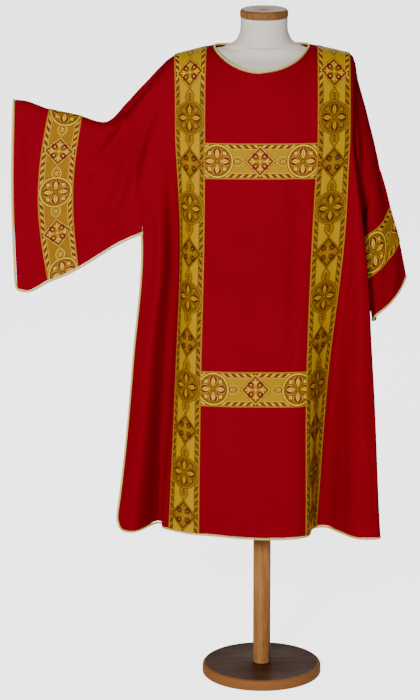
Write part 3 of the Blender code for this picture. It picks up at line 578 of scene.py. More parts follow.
# Creases of the front: height (ridges up, troughs down), half width, and the line
# through x and z that each follows.  Where one side is steeper or softer, its half
# width comes last.
FRONT_CREASES = (
    (0.0140, 0.0210, ((-0.228, 1.567), (-0.282, 1.493), (-0.334, 1.422), (-0.377, 1.370),
                      (-0.425, 1.314)), 0.0070),
    (-0.0155, 0.0185, ((-0.256, 1.500), (-0.283, 1.435), (-0.307, 1.360), (-0.326, 1.311), (-0.360, 1.236),
                       (-0.400, 1.164))),
    (0.0060, 0.0130, ((-0.265, 1.435), (-0.283, 1.360), (-0.296, 1.298), (-0.314, 1.242))),
    (-0.0050, 0.0046, ((-0.386, 1.421), (-0.359, 1.420), (-0.335, 1.418))),
    (-0.0040, 0.0085, ((-0.423, 1.311), (-0.412, 1.278), (-0.420, 1.256), (-0.456, 1.236))),
    (0.0050, 0.0080, ((-0.434, 1.306), (-0.432, 1.284), (-0.462, 1.258))),
    (0.0060, 0.0100, ((-0.397, 1.118), (-0.363, 1.156), (-0.328, 1.200))),
    (-0.0034, 0.0100, ((-0.382, 1.130), (-0.350, 1.142), (-0.318, 1.176))),
    (-0.0062, 0.0130, ((-0.271, 1.290), (-0.273, 1.177), (-0.276, 1.080), (-0.282, 0.960))),
    (0.0050, 0.0130, ((-0.248, 1.400), (-0.247, 1.270), (-0.247, 1.145), (-0.250, 1.000))),
    (-0.0045, 0.0120, ((-0.318, 1.020), (-0.330, 0.880), (-0.340, 0.700), (-0.352, 0.520))),
    (-0.0018, 0.0130, ((-0.020, 0.698), (-0.019, 0.628), (-0.019, 0.558))),
    (0.0022, 0.0200, ((-0.062, 0.735), (-0.056, 0.600), (-0.050, 0.430))),
    (-0.0026, 0.0180, ((0.030, 0.730), (0.034, 0.570), (0.040, 0.430))),
    (-0.0026, 0.0220, ((-0.110, 1.290), (-0.112, 1.050), (-0.118, 0.840))),
    (0.0022, 0.0240, ((0.026, 1.290), (0.020, 1.060), (0.014, 0.850))),
    (-0.0070, 0.0090, ((0.080, 1.330), (0.083, 1.200), (0.082, 1.060), (0.072, 0.830)), 0.0240),
    (-0.0045, 0.0090, ((0.224, 1.553), (0.232, 1.480), (0.238, 1.397), (0.248, 1.303))),
    (-0.0050, 0.0120, ((0.276, 1.410), (0.286, 1.312), (0.298, 1.235), (0.312, 1.140))),
    (0.0040, 0.0120, ((0.212, 0.900), (0.214, 0.680), (0.218, 0.430))),
    (-0.0040, 0.0120, ((0.262, 0.960), (0.270, 0.720), (0.282, 0.430))),
    (-0.0032, 0.0100, ((0.318, 1.160), (0.304, 1.080), (0.296, 1.010))),
    (0.0030, 0.0090, ((0.330, 1.080), (0.322, 1.020), (0.312, 0.985))),
    (-0.0040, 0.0120, ((-0.586, 1.440), (-0.572, 1.330), (-0.576, 1.200))),
    (0.0034, 0.0120, ((-0.545, 1.250), (-0.556, 1.150), (-0.574, 1.060))),
)
BACK_CREASES = (
    (0.0105, 0.0210, ((-0.232, 1.560), (-0.278, 1.500), (-0.334, 1.415), (-0.420, 1.310)), 0.0080),
    (-0.0110, 0.0180, ((-0.256, 1.500), (-0.280, 1.430), (-0.304, 1.330), (-0.350, 1.230), (-0.392, 1.168))),
    (-0.0045, 0.0085, ((-0.462, 1.300), (-0.446, 1.262), (-0.426, 1.236))),
    (0.0055, 0.0110, ((-0.398, 1.116), (-0.364, 1.158), (-0.326, 1.200))),
    (-0.0022, 0.0220, ((-0.020, 1.540), (-0.016, 1.440), (-0.012, 1.330))),
    (0.0018, 0.0240, ((0.052, 1.290), (0.050, 1.080), (0.046, 0.850))),
    (-0.0020, 0.0220, ((-0.060, 1.280), (-0.058, 1.060), (-0.052, 0.860))),
    (-0.0020, 0.0190, ((-0.030, 0.730), (-0.034, 0.580), (-0.036, 0.430))),
    (0.0018, 0.0200, ((0.070, 0.735), (0.076, 0.590), (0.084, 0.430))),
    (-0.0042, 0.0100, ((0.226, 1.550), (0.235, 1.460), (0.252, 1.320))),
    (0.0020, 0.0120, ((0.226, 0.850), (0.230, 0.640), (0.236, 0.430))),
    (-0.0016, 0.0120, ((-0.300, 0.800), (-0.310, 0.620), (-0.322, 0.450))),
    (-0.0020, 0.0090, ((0.316, 1.150), (0.300, 1.070), (0.292, 1.000))),
)

SHOULDER_ROWS = 6            # rows of the tables between the top line and the yoke
LEVELS = (YOKE_HEIGHT, YOKE_HEIGHT - BAND_WIDTH, 1.232, ARM_HEIGHT, 1.095, 1.030, 0.963, 0.896,
          HIP_HEIGHT, HIP_HEIGHT - BAND_WIDTH, 0.660, 0.578, 0.494, HEM_HEIGHT)
ROW_SPLIT = 6                # fine rows to each row of the tables
COLUMN_SPLIT = 4             # fine columns to each step between folds
YOKE_ROW = SHOULDER_ROWS * ROW_SPLIT
ARM_ROW = YOKE_ROW + LEVELS.index(ARM_HEIGHT) * ROW_SPLIT
HIP_ROW = YOKE_ROW + LEVELS.index(HIP_HEIGHT) * ROW_SPLIT
HEM_ROW = YOKE_ROW + (len(LEVELS) - 1) * ROW_SPLIT

# On the raised side the cloth above this line is drawn back, so that a fold drapes below it.
DRAPE_LINE = ((-0.330, 1.4270), (-0.272, 1.5160), (-0.232, 1.5700))
DRAPE_DEPTH = 0.85           # share of its depth that is drawn back
DRAPE_CLEAR = 0.006          # least depth that is left
DRAPE_BLEND = 0.010          # half the height over which it turns back
DRAPE_INNER = 0.235          # it starts this far out from the middle
DRAPE_OUTER = 0.252          # and is complete here

CREASE_SEARCH = 0.25         # creases whose points are all further off are passed over
CREASE_TAIL = 3.0            # a crease ends this many half widths away
CREASE_END = 0.04            # its ends lie this share of its length in from where it would be level
CREASE_ROUND = 0.7           # how full it is along its length
SLACK = 0.00045              # height of the free cloth's unevenness
SLACK_FROM = 1.54            # it grows from this height
SLACK_FULL = 1.40            # to its full size here
FULL_ARC = 0.98              # the arc over the shoulder starts at this share of its depth at most


def smooth_step(low, high, at):
    """0 before low, 1 after high, and an even rise between them."""
    t = min(1.0, max(0.0, (at - low) / (high - low)))
    return t * t * (3.0 - 2.0 * t)


def set_back(point):
    """Draw the cloth back between the raised side's top line and its drape fold."""
    line = polyline(DRAPE_LINE, point.x)
    share = smooth_step(-DRAPE_BLEND, DRAPE_BLEND, point.z - line)
    share *= smooth_step(DRAPE_INNER, DRAPE_OUTER, -point.x)
    depth = abs(point.y)
    kept = max(min(depth, DRAPE_CLEAR), depth * (1.0 - DRAPE_DEPTH * share))
    return Vector((point.x, math.copysign(kept, point.y), point.z))


def neckline_point(ridge_x, side):
    """Point of the neck opening above a fold, or None where the top line is cloth."""
    share = (ridge_x - NECK_CENTRE) / NECK_HALF_WIDTH
    if abs(share) > 1.0:
        return None
    front = side < 0
    reach = NECK_FRONT_REACH if front else NECK_BACK_REACH
    drop = NECK_FRONT_DROP if front else NECK_BACK_DROP
    fall = math.sqrt(1.0 - share * share)
    corner = ridge_height(NECK_CENTRE + math.copysign(NECK_HALF_WIDTH, share))
    return Vector((ridge_x, side * max(SEAM_GAP / 2, reach * fall), corner - drop * fall ** NECK_CURVE))


def between_on_neck(x0, x1, share):
    """x between two folds: evenly round the neck opening, straight elsewhere."""
    turns = [(x - NECK_CENTRE) / NECK_HALF_WIDTH for x in (x0, x1)]
    if max(abs(turn) for turn in turns) > NECK_CORNER:
        return x0 + (x1 - x0) * share
    first, last = (math.asin(max(-1.0, min(1.0, turn))) for turn in turns)
    return NECK_CENTRE + NECK_HALF_WIDTH * math.sin(first + (last - first) * share)


def over_shoulder(ridge_x, yoke, side, share):
    """Point between the top line and the yoke, on an arc over the shoulder."""
    start = neckline_point(ridge_x, side) or Vector((ridge_x, side * SEAM_GAP / 2, ridge_height(ridge_x)))
    first = math.asin(min(FULL_ARC, start.y / yoke.y))
    angle = first + (math.pi / 2 - first) * share
    height = (start.z - yoke.z) / math.cos(first)
    across = (math.sin(angle) - math.sin(first)) / (1.0 - math.sin(first))
    x = start.x + (yoke.x - start.x) * across
    return set_back(Vector((x, yoke.y * math.sin(angle), yoke.z + height * math.cos(angle))))


def fold_point(fold, height):
    """Point of one fold line at a height of the tables, from the yoke down."""
    _, _, ridge_x, yoke, arm, hip, hem = fold
    yoke_z = min(YOKE_HEIGHT, ARM_HEIGHT + YOKE_SHARE * (ridge_height(ridge_x) - ARM_HEIGHT))
    z = height
    if height > ARM_HEIGHT:
        z = yoke_z + (ARM_HEIGHT - yoke_z) * (YOKE_HEIGHT - height) / (YOKE_HEIGHT - ARM_HEIGHT)
    levels = (yoke_z, ARM_HEIGHT, HIP_HEIGHT, HEM_HEIGHT)
    x = hermite(levels, (yoke[0], arm[0], hip[0], hem[0]), z)
    y = hermite(levels, (yoke[1], arm[1], hip[1], hem[1]), z, start_slope=0.0)
    return set_back(Vector((x, y, z)))


def panel_grid(folds, side):
    """Fine rows of points over the whole panel, and the column number of every fold."""
    columns = {}
    ridge = []
    for fold, after in zip(folds, folds[1:] + folds[-1:]):
        columns[fold[0]] = len(ridge)
        steps = max(1, fold[1] * COLUMN_SPLIT)
        ridge += [between_on_neck(fold[2], after[2], step / steps) for step in range(steps)]
    heights = []
    for high, low in zip(LEVELS, LEVELS[1:]):
        heights += [high + (low - high) * step / ROW_SPLIT for step in range(ROW_SPLIT)]
    rows = []
    for height in heights + [HEM_HEIGHT]:
        points = [fold_point(fold, height) for fold in folds]
        knots = chord_knots(points)
        line = []
        for index, fold in enumerate(folds):
            line.append(points[index])
            steps = fold[1] * COLUMN_SPLIT
            for step in range(1, steps):
                at = knots[index] + (knots[index + 1] - knots[index]) * step / steps
                line.append(through(points, knots, at))
        rows.append(line)
    rows = [[over_shoulder(x, yoke, side, row / YOKE_ROW) for x, yoke in zip(ridge, rows[0])]
            for row in range(YOKE_ROW)] + rows
    for line in rows[YOKE_ROW:]:
        reach = 0.0
        for column, point in enumerate(line):
            reach += (point - line[column - 1]).length if column else 0.0
            if reach > CORNER_REACH:
                break
            lift = CORNER_LIFT * (1.0 - reach / CORNER_REACH) ** 2
            point.z += lift * max(0.0, 1.0 - (point.z - HEM_HEIGHT) / CORNER_HEIGHT)
    return rows, columns


def grid_normals(rows, outward):
    """Unit normals of a grid, from the faces round each point; outward is its winding."""
    normals = [[Vector((0.0, 0.0, 0.0)) for _ in line] for line in rows]
    for i in range(len(rows) - 1):
        for j in range(len(rows[0]) - 1):
            face = (rows[i][j + 1] - rows[i + 1][j]).cross(rows[i + 1][j + 1] - rows[i][j]) * outward
            for a, b in ((i, j), (i, j + 1), (i + 1, j), (i + 1, j + 1)):
                normals[a][b] += face
    return [[normal.normalized() for normal in line] for line in normals]


def moved(rows, normals, distance):
    """A grid moved along its normals."""
    return [[p + n * distance for p, n in zip(line, normal_line)]
            for line, normal_line in zip(rows, normals)]


def crease_height(point, creases):
    """How far the creases lift or sink the cloth at a point."""
    total = 0.0
    for height, half_width, line, *other_side in creases:
        if min(abs(point.x - x) + abs(point.z - z) for x, z in line) > CREASE_SEARCH:
            continue
        nearest, place, beyond = 1.0, 0.0, False
        count = len(line) - 1
        for index in range(count):
            (x0, z0), (x1, z1) = line[index], line[index + 1]
            dx, dz = x1 - x0, z1 - z0
            t = ((point.x - x0) * dx + (point.z - z0) * dz) / (dx * dx + dz * dz)
            t = min(1.0, max(0.0, t))
            away = math.hypot(point.x - x0 - dx * t, point.z - z0 - dz * t)
            if away < nearest:
                nearest, place = away, (index + t) / count
                beyond = dx * (point.z - z0) - dz * (point.x - x0) < 0.0
        if nearest < CREASE_TAIL * half_width:
            reach = other_side[0] if other_side and beyond else half_width
            phase = math.pi * (CREASE_END + (1.0 - 2 * CREASE_END) * place)
            total += height * math.exp(-(nearest / reach) ** 2) * math.sin(phase) ** CREASE_ROUND
    return total


def slack(point):
    """The faint unevenness of cloth that hangs free."""
    x, _, z = point
    broad = math.sin(21.0 * x + 5.0 * z) * math.sin(9.0 * z - 13.0 * x + 1.7)
    narrow = 0.6 * math.sin(47.0 * x - 11.0 * z + 2.1)
    return SLACK * (broad + narrow) * smooth_step(SLACK_FROM, SLACK_FULL, z)


def pressed(rows, normals, creases_of_row, shares=None):
    """The grid with its creases and slack in it, in each column's share."""
    shares = shares or [1.0] * len(rows[0])
    return [[p + n * (crease_height(p, creases_of_row(i)) + slack(p)) * share
             for p, n, share in zip(line, normal_line, shares)]
            for i, (line, normal_line) in enumerate(zip(rows, normals))]


def metres_over(rows):
    """UV of every point, in metres along its row and down its column."""
    uvs = []
    for i, line in enumerate(rows):
        u = 0.0
        row = []
        for j, point in enumerate(line):
            u += (point - line[j - 1]).length if j else 0.0
            v = uvs[i - 1][j][1] - (point - rows[i - 1][j]).length if i else 0.0
            row.append((u, v))
        uvs.append(row)
    middle = [row[len(row) // 2][0] for row in uvs]
    return [[(u - m, v) for u, v in row] for row, m in zip(uvs, middle)]


def walled(name, outer, inner, uvs, finish, angle=55.0):
    """A closed wall of cloth between two grids."""
    height, width = len(outer), len(outer[0])
    verts = [p for line in outer for p in line] + [p for line in inner for p in line]
    flat_uvs = [uv for line in uvs for uv in line] * 2
    back = height * width
    faces = []
    for i in range(height - 1):
        for j in range(width - 1):
            quad = (i * width + j, i * width + j + 1, (i + 1) * width + j + 1, (i + 1) * width + j)
            faces += [quad, tuple(back + corner for corner in reversed(quad))]
    border = list(range(width))
    border += [i * width + width - 1 for i in range(1, height)]
    border += [(height - 1) * width + j for j in range(width - 2, -1, -1)]
    border += [i * width for i in range(height - 2, 0, -1)]
    for a, b in zip(border, border[1:] + border[:1]):
        faces.append((b, a, back + a, back + b))
    return solid_mesh(name, verts, faces, finish, flat_uvs, angle)


THREAD_PITCH = 0.0011        # between two threads of the cloth
GAP_SHADE_SHARE = 0.30          # painted shade: how much darker the cloth is painted between its threads
SLUB_LIMIT = 0.62            # the noise above this is a slub
SLUB_SHARE = 0.25


def cloth_finish():
    """Wool blend in plain weave: fine crossing threads, slubs and a slow change of tone."""
    finish, tree, shader = new_finish("red wool blend", 0.94)
    shader.inputs["Specular IOR Level"].default_value = 0.05
    weave_at = tree.nodes.new("ShaderNodeUVMap").outputs[0]
    place = tree.nodes.new("ShaderNodeTexCoord").outputs["Object"]
    parts = tree.nodes.new("ShaderNodeSeparateXYZ")
    put(tree, parts.inputs[0], weave_at)
    turns = 2 * math.pi / THREAD_PITCH
    warp, weft = (calc(tree, "SINE", calc(tree, "MULTIPLY", parts.outputs[axis], turns)) for axis in (0, 1))
    weave = calc(tree, "MULTIPLY_ADD", calc(tree, "MULTIPLY", warp, weft), 0.25, 0.5)
    slubs = speckle(tree, stretched(tree, weave_at, (60.0, 700.0, 1.0)), 1.0, 2.0)
    drift = speckle(tree, place, 4.5, 3.0)
    # Painted shade between the threads, where the weave sinks.
    hollows = calc(tree, "MULTIPLY", calc(tree, "SUBTRACT", 1.0, weave), GAP_SHADE_SHARE)
    pale_slubs = calc(tree, "MULTIPLY", calc(tree, "GREATER_THAN", slubs, SLUB_LIMIT), SLUB_SHARE)
    tone = blend_over(tree, colour(143, 0, 26), colour(130, 0, 22), drift)
    tone = blend_over(tree, tone, colour(98, 0, 16), hollows)
    tone = blend_over(tree, tone, colour(156, 4, 36), pale_slubs)
    put(tree, shader.inputs["Base Color"], tone)
    surface = calc(tree, "MULTIPLY_ADD", slubs, 0.5, weave)
    put(tree, shader.inputs["Normal"], raised(tree, surface, 0.35, 0.00025))
    return finish


red_cloth = cloth_finish()
panels = {}
for panel_name, folds, side, creases in (("front", FRONT_FOLDS, -1, FRONT_CREASES),
                                         ("back", BACK_FOLDS, 1, BACK_CREASES)):
    rows, columns = panel_grid(folds, side)
    rows = pressed(rows, grid_normals(rows, side), lambda row: creases)
    normals = grid_normals(rows, side)
    inner = moved(rows, normals, -WALL)
    for point in inner[0]:
        point.y = side * max(SEAM_GAP / 2, side * point.y)
    panel = walled(panel_name + "_panel", rows, inner, metres_over(rows), red_cloth)
    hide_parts("body_" + panel_name)
    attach(panel, "root")
    panels[panel_name] = (rows, normals, columns, panel)

# ------------------------------------------------------------------ galloons
# A woven gold galloon 88 mm wide: satin ground, borders of slanting leaves, and roundels
# with four leaves between lozenges with a flowered cross, joined by eye-shaped loops.
# It is laid flat on the cloth and sewn down along both edges.
BRAID = 0.0012
REPEAT = 222.0               # from one roundel to the next, in mm along the galloon
HALF_WIDTH = 44.0            # mm
CROSSWISE_STRETCH = 1.07     # the cross galloons are eased in a little along their length
LEAF_STEP = REPEAT / 12      # between the slanting leaves of the borders
SHOULDER_PHASE = 0.0785      # the first lozenge lies this far down from the shoulder's top
FADE_HEIGHT = 0.03           # the gold goes from its painted shade to its lit colour within this height

# Places and sizes of the motifs, in mm.
BORDER_WIDTH = 15.0
LEAF_LINE = 8.0              # middle of the slanting leaves, in from the edge
LEAF_SLANT = -1.15
LOOP_LINE = 51.0             # where the loops are widest, along from the roundel's middle
LOOP_PITCH = 13.05
LOOP_SWING = 12.0
LOOP_END = 74.5
LOOP_FIELD_END = 71.5
LOZENGE_LENGTH = 37.8        # half its size along and across
LOZENGE_WIDTH = 37.4
DIAGONAL = 0.7071            # cosine of 45 degrees
ROUNDEL_FIELD = 36.0         # radius
RIB_PITCH = 0.9
PICK_PITCH = 0.7


def galloon_finish(name, satin, bright, shaded_pale, accent, shaded_accent, shaded_below=0.0):
    """The whole weave, drawn in millimetres across and along the galloon."""
    finish, tree, shader = new_finish(name, 0.60, metallic=0.08)
    shader.inputs["Specular IOR Level"].default_value = 0.14
    parts = tree.nodes.new("ShaderNodeSeparateXYZ")
    weave_at = tree.nodes.new("ShaderNodeUVMap").outputs[0]
    put(tree, parts.inputs[0], weave_at)
    layers = []

    def m(operation, *values):
        return calc(tree, operation, *values)

    def less(value, amount):
        return m("SUBTRACT", value, amount)

    def ellipse(x, y, half_x, half_y):
        fx, fy = m("DIVIDE", x, half_x), m("DIVIDE", y, half_y)
        return m("SQRT", m("ADD", m("MULTIPLY", fx, fx), m("MULTIPLY", fy, fy)))

    def joined(operation, masks):
        total = masks[0]
        for mask in masks[1:]:
            total = m(operation, total, mask)
        return total

    def both(*masks):
        return joined("MULTIPLY", masks)

    def any_of(*masks):
        return joined("MAXIMUM", masks)

    def inside(value, limit):
        return m("LESS_THAN", value, limit)

    def near(value, target, width):
        return m("COMPARE", value, target, width)

    def oval(x, y, half_x, half_y):
        return inside(ellipse(x, y, half_x, half_y), 1.0)

    def diagonals(x, y):
        """Distances along and off the line halfway between two directions."""
        return m("MULTIPLY", m("ADD", x, y), DIAGONAL), m("ABSOLUTE", m("MULTIPLY", less(x, y), DIAGONAL))

    def from_middle(value):
        """Distance to the middle of the step that a value lies in."""
        return m("ABSOLUTE", less(m("FRACT", value), 0.5))

    def swell(value, start, length, power, height):
        """A leaf's half width: nothing at its start, fullest past its middle."""
        share = m("POWER", m("MAXIMUM", m("DIVIDE", less(value, start), length), 0.0), power)
        return m("MULTIPLY", m("SINE", m("MULTIPLY", m("MINIMUM", share, 1.0), math.pi)), height)

    def weave(mask, thread, height):
        """Threads of one colour over what lies below them, at a height from 0 to 1."""
        layers.append((mask, thread, height))

    def weave_within(value, rings):
        """Fields one inside the other: limit, thread and height of each."""
        for limit, thread, height in rings:
            weave(inside(value, limit), thread, height)

    place = tree.nodes.new("ShaderNodeTexCoord").outputs["Object"]
    levels = tree.nodes.new("ShaderNodeSeparateXYZ")
    put(tree, levels.inputs[0], place)
    # Painted light: below the height given by the last argument, the pale threads, the red and the leaves'
    # gold take darker copies as painted shade. Above it they take their lit colours.
    shine = clamped(tree, m("DIVIDE", less(levels.outputs[2], shaded_below), FADE_HEIGHT))
    pale = blend_over(tree, shaded_pale, bright, shine)
    red = blend_over(tree, shaded_accent, accent, shine)
    leaf_gold = blend_over(tree, satin, bright, shine)
    shadow = colour(66, 24, 4)
    mid = colour(138, 92, 8)
    gold = colour(180, 130, 14)

    signed = m("MULTIPLY", parts.outputs[0], 1000.0)
    across = m("ABSOLUTE", signed)
    running = m("MULTIPLY", parts.outputs[1], 1000.0)
    along = m("PINGPONG", running, REPEAT / 2)

    # borders: slanting red leaves between pale ones, an outer line and two inner ones
    edge = less(HALF_WIDTH, across)
    middle = less(edge, LEAF_LINE)
    slant = m("DIVIDE", m("MULTIPLY_ADD", middle, LEAF_SLANT, m("ADD", along, 10 * LEAF_STEP)), LEAF_STEP)
    from_red = from_middle(m("ADD", slant, 0.5))
    from_pale = from_middle(slant)
    weave(inside(edge, BORDER_WIDTH), gold, 0.6)
    for leaf, half_width, half_length, thread, height in (
            (from_pale, 0.25, 5.2, shadow, 0.3), (from_pale, 0.20, 4.5, pale, 1.0),
            (from_pale, 0.05, 2.6, gold, 0.7),
            (from_red, 0.21, 5.6, shadow, 0.2), (from_red, 0.17, 5.2, red, 0.3)):
        weave(oval(leaf, middle, half_width, half_length), thread, height)
    for line, half_width, thread, height in ((2.9, 0.35, mid, 0.2), (13.2, 0.45, shadow, 0.2),
                                             (14.3, 0.65, pale, 0.9)):
        weave(near(edge, line, half_width), thread, height)

    # eye-shaped loops, whose two lines cross and go on round the lozenge
    turn = m("DIVIDE", less(along, LOOP_LINE), LOOP_PITCH)
    from_loop = less(across, m("ABSOLUTE", m("MULTIPLY", m("COSINE", turn), LOOP_SWING)))
    weave(both(inside(from_loop, 0.0), inside(along, LOOP_FIELD_END)), gold, 0.6)
    for half_width, thread, height in ((2.4, shadow, 0.2), (1.35, pale, 1.0)):
        weave(both(near(from_loop, 0.0, half_width), inside(along, LOOP_END)), thread, height)
    eye = ellipse(less(along, 51.5), across, 7.6, 4.8)
    weave(near(eye, 1.0, 0.16), shadow, 0.3)
    weave_within(eye, ((0.84, pale, 0.9), (0.34, shadow, 0.3)))

    # lozenge: a cross with three-pointed flowers, and four pale dots on red
    length = less(REPEAT / 2, along)
    lozenge = m("ADD", m("DIVIDE", length, LOZENGE_LENGTH), m("DIVIDE", across, LOZENGE_WIDTH))
    arm, flank = m("MAXIMUM", length, across), m("MINIMUM", length, across)
    corner, aside = diagonals(length, across)
    weave_within(lozenge, ((1.080, shadow, 0.2), (1.030, pale, 1.0), (0.945, shadow, 0.2),
                           (0.925, red, 0.3), (0.835, mid, 0.6)))
    for spot, half_length, half_width, thread, height in (
            (18.6, 7.8, 7.2, red, 0.3), (16.4, 3.5, 3.5, shadow, 0.3), (16.4, 2.4, 2.4, pale, 1.0)):
        weave(oval(less(corner, spot), aside, half_length, half_width), thread, height)
    fan = less(flank, m("MULTIPLY", less(arm, 9.0), 0.58))
    heart = both(inside(fan, 0.0), inside(arm, 20.0))
    tips = any_of(oval(less(arm, 23.0), flank, 4.6, 1.5), oval(less(arm, 20.0), less(flank, 5.6), 2.8, 1.6))
    veins = near(m("MULTIPLY", less(arm, 9.5), 0.36), flank, 0.45)
    weave(both(inside(flank, 2.6), inside(arm, 15.0)), gold, 0.7)
    weave(any_of(heart, tips), pale, 1.0)
    weave(both(veins, near(arm, 16.0, 4.5)), mid, 0.5)
    weave(inside(arm, 2.6), pale, 1.0)

    # roundel: four lobed leaves in red tulip-shaped loops, small flowers between them
    reach = ellipse(along, across, 1.0, 1.0)
    out, wide = m("MAXIMUM", along, across), m("MINIMUM", along, across)
    diagonal, off = diagonals(along, across)
    weave_within(reach, ((42.4, shadow, 0.2), (41.0, pale, 1.0), (37.2, shadow, 0.2), (35.8, mid, 0.6)))
    ring = near(ellipse(less(diagonal, 24.5), off, 9.0, 7.4), 1.0, 0.10)
    flower = any_of(oval(less(diagonal, 25.6), off, 3.6, 2.4), oval(less(diagonal, 29.6), off, 4.0, 1.4),
                    oval(less(diagonal, 27.6), less(off, 3.8), 2.1, 2.4))
    weave(both(ring, inside(reach, ROUNDEL_FIELD)), shadow, 0.3)
    weave(flower, pale, 1.0)
    weave(both(inside(off, 0.6), near(diagonal, 17.5, 6.0)), gold, 0.8)
    tulip = m("DIVIDE", wide, m("MAXIMUM", swell(out, 4.0, 31.0, 1.34, 12.8), 0.01))
    weave_within(tulip, ((1.12, shadow, 0.2), (1.0, pale, 0.9), (0.86, red, 0.3)))
    weave(both(inside(wide, 1.5), m("GREATER_THAN", out, 29.5), inside(reach, 36.2)), mid, 0.6)
    lobes = m("MULTIPLY_ADD", m("SINE", m("MULTIPLY", out, 1.7)), 0.14, 1.0)
    leaf = m("DIVIDE", wide, m("MAXIMUM", m("MULTIPLY", swell(out, 6.0, 24.0, 1.20, 5.2), lobes), 0.01))
    weave(inside(leaf, 1.0), leaf_gold, 1.0)
    weave(both(inside(wide, 0.75), near(out, 18.5, 7.5)), mid, 0.6)
    weave_within(reach, ((4.8, shadow, 0.2), (3.4, gold, 0.8), (1.3, shadow, 0.3)))

    # satin ground: long floats with a slow change of tone, and fine ribs over all of it
    floats = speckle(tree, stretched(tree, weave_at, (900.0, 140.0, 1.0)), 1.0, 2.0)
    drift = speckle(tree, place, 14.0, 2.0)
    tone = blend_over(tree, satin, darker(satin, 0.66), m("MULTIPLY", floats, drift))
    threads = 0.45
    for mask, thread, height in layers:
        tone = blend_over(tree, tone, thread, mask)
        threads = m("MULTIPLY_ADD", mask, less(height, threads), threads)
    rib = m("SINE", m("MULTIPLY", running, 2 * math.pi / RIB_PITCH))
    pick = m("SINE", m("MULTIPLY", signed, 2 * math.pi / PICK_PITCH))
    grain = m("MULTIPLY", m("MULTIPLY", rib, pick), 0.14)
    tone = blend_over(tree, tone, colour(84, 52, 4), m("MULTIPLY_ADD", grain, 0.6, 0.08))
    put(tree, shader.inputs["Base Color"], tone)
    put(tree, shader.inputs["Roughness"], m("MULTIPLY_ADD", threads, 0.12, 0.54))
    put(tree, shader.inputs["Normal"], raised(tree, m("ADD", threads, grain), 0.6, 0.00045))
    return finish


def flipped(rows):
    """A grid with its rows and columns exchanged."""
    return [list(line) for line in zip(*rows)]


def galloon_uvs(rows, start_row, start, stretch=1.0):
    """UV in metres across and along a galloon, counted along its middle from one row."""
    middle = len(rows[0]) // 2
    travel = chord_knots([line[middle] for line in rows])
    uvs = []
    for line, reach in zip(rows, travel):
        spans = chord_knots(line)
        along = (reach - travel[start_row]) * stretch + start
        uvs.append([((span / spans[-1] - 0.5) * BAND_WIDTH, along) for span in spans])
    return uvs


def part_of(rows, first_row, last_row, first_column, last_column):
    """A block of a grid, with its last row and column."""
    return [line[first_column:last_column + 1] for line in rows[first_row:last_row + 1]]


def lay_galloon(name, rows, normals, uvs, finish, node):
    """A galloon on a piece of cloth: the cloth's own points, moved out."""
    low = moved(rows, normals, SEAM_GAP)
    high = moved(rows, normals, SEAM_GAP + BRAID)
    piece = walled(name, high, low, uvs, finish, 50.0)
    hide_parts(node)
    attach(piece, "root")
    return piece


STITCH_INSET = 0.0022        # the sewing lies this far in from a galloon's edge
stitch_lines = []            # sewn lines, as lists of (point, normal)


def edge_lines(rows, normals):
    """The two lines of sewing just inside a galloon's long edges."""
    for edge, inner in ((0, 1), (-1, -2)):
        path = []
        for line, way in zip(rows, normals):
            inward = (line[inner] - line[edge]).normalized()
            path.append((line[edge] + inward * STITCH_INSET + way[edge] * (SEAM_GAP + BRAID), way[edge]))
        stitch_lines.append(path)


HALF_REPEAT = REPEAT / 2000  # in metres: a galloon that starts here starts with a lozenge
BAND_CENTRES = (("chest", YOKE_ROW, -0.010), ("skirt", HIP_ROW, -0.020))   # x of the front's lozenges

bright_gold = colour(234, 190, 44)
deep_red = colour(118, 2, 18)
crosswise_gold = galloon_finish("gold galloon laid across", colour(188, 142, 0), bright_gold, bright_gold,
                                deep_red, deep_red)
# Laid lengthwise, the gold is painted darker below 1.515 m as painted shade: colour(158, 116, 16) and
# colour(80, 34, 4) are the shaded copies of its pale threads and its red.
lengthwise_gold = galloon_finish("gold galloon laid lengthwise", colour(202, 156, 0), colour(234, 192, 46),
                                 colour(158, 116, 16), deep_red, colour(80, 34, 4), shaded_below=1.515)

for panel_name in ("front", "back"):
    rows, normals, columns, panel = panels[panel_name]
    first, last = columns["band_r_in"], columns["band_l_in"]
    for place, top, centre in BAND_CENTRES:
        band = [[p.copy() for p in line] for line in part_of(rows, top, top + ROW_SPLIT, first, last)]
        for line in band:
            line[0] = line[0] + (line[1] - line[0]).normalized() * SEAM_GAP
            line[-1] = line[-1] + (line[-2] - line[-1]).normalized() * SEAM_GAP
        band_normals = part_of(normals, top, top + ROW_SPLIT, first, last)
        offset = centre if panel_name == "front" else 0.0
        nearest = min(range(len(band[0])), key=lambda j: abs(band[0][j].x - offset))
        start = HALF_REPEAT + (band[0][nearest].x - offset) * CROSSWISE_STRETCH
        uvs = flipped(galloon_uvs(flipped(band), nearest, start, CROSSWISE_STRETCH))
        lay_galloon("%s_%s_galloon" % (panel_name, place), band, band_normals, uvs,
                    crosswise_gold, "band_%s_%s" % (panel_name, place))
        edge_lines(flipped(band), flipped(band_normals))

for hand, letter in (("right", "r"), ("left", "l")):
    line_up = []
    lifts = []
    for panel_name in ("front", "back"):
        rows, normals, columns, panel = panels[panel_name]
        ends = sorted(columns["band_%s_%s" % (letter, end)] for end in ("in", "out"))
        line_up.append(part_of(rows, 0, HEM_ROW, *ends))
        lifts.append(part_of(normals, 0, HEM_ROW, *ends))
    over = [(a + b) / 2 for a, b in zip(line_up[0][0], line_up[1][0])]
    over_normals = [(a + b).normalized() for a, b in zip(lifts[0][0], lifts[1][0])]
    band = line_up[0][:0:-1] + [over] + line_up[1][1:]
    band_normals = lifts[0][:0:-1] + [over_normals] + lifts[1][1:]
    top = len(line_up[0]) - 1
    uvs = galloon_uvs(band, top, HALF_REPEAT + SHOULDER_PHASE)
    lay_galloon("%s_shoulder_galloon" % hand, band, band_normals, uvs, lengthwise_gold,
                "band_shoulder_%s" % hand)
    edge_lines(band, band_normals)

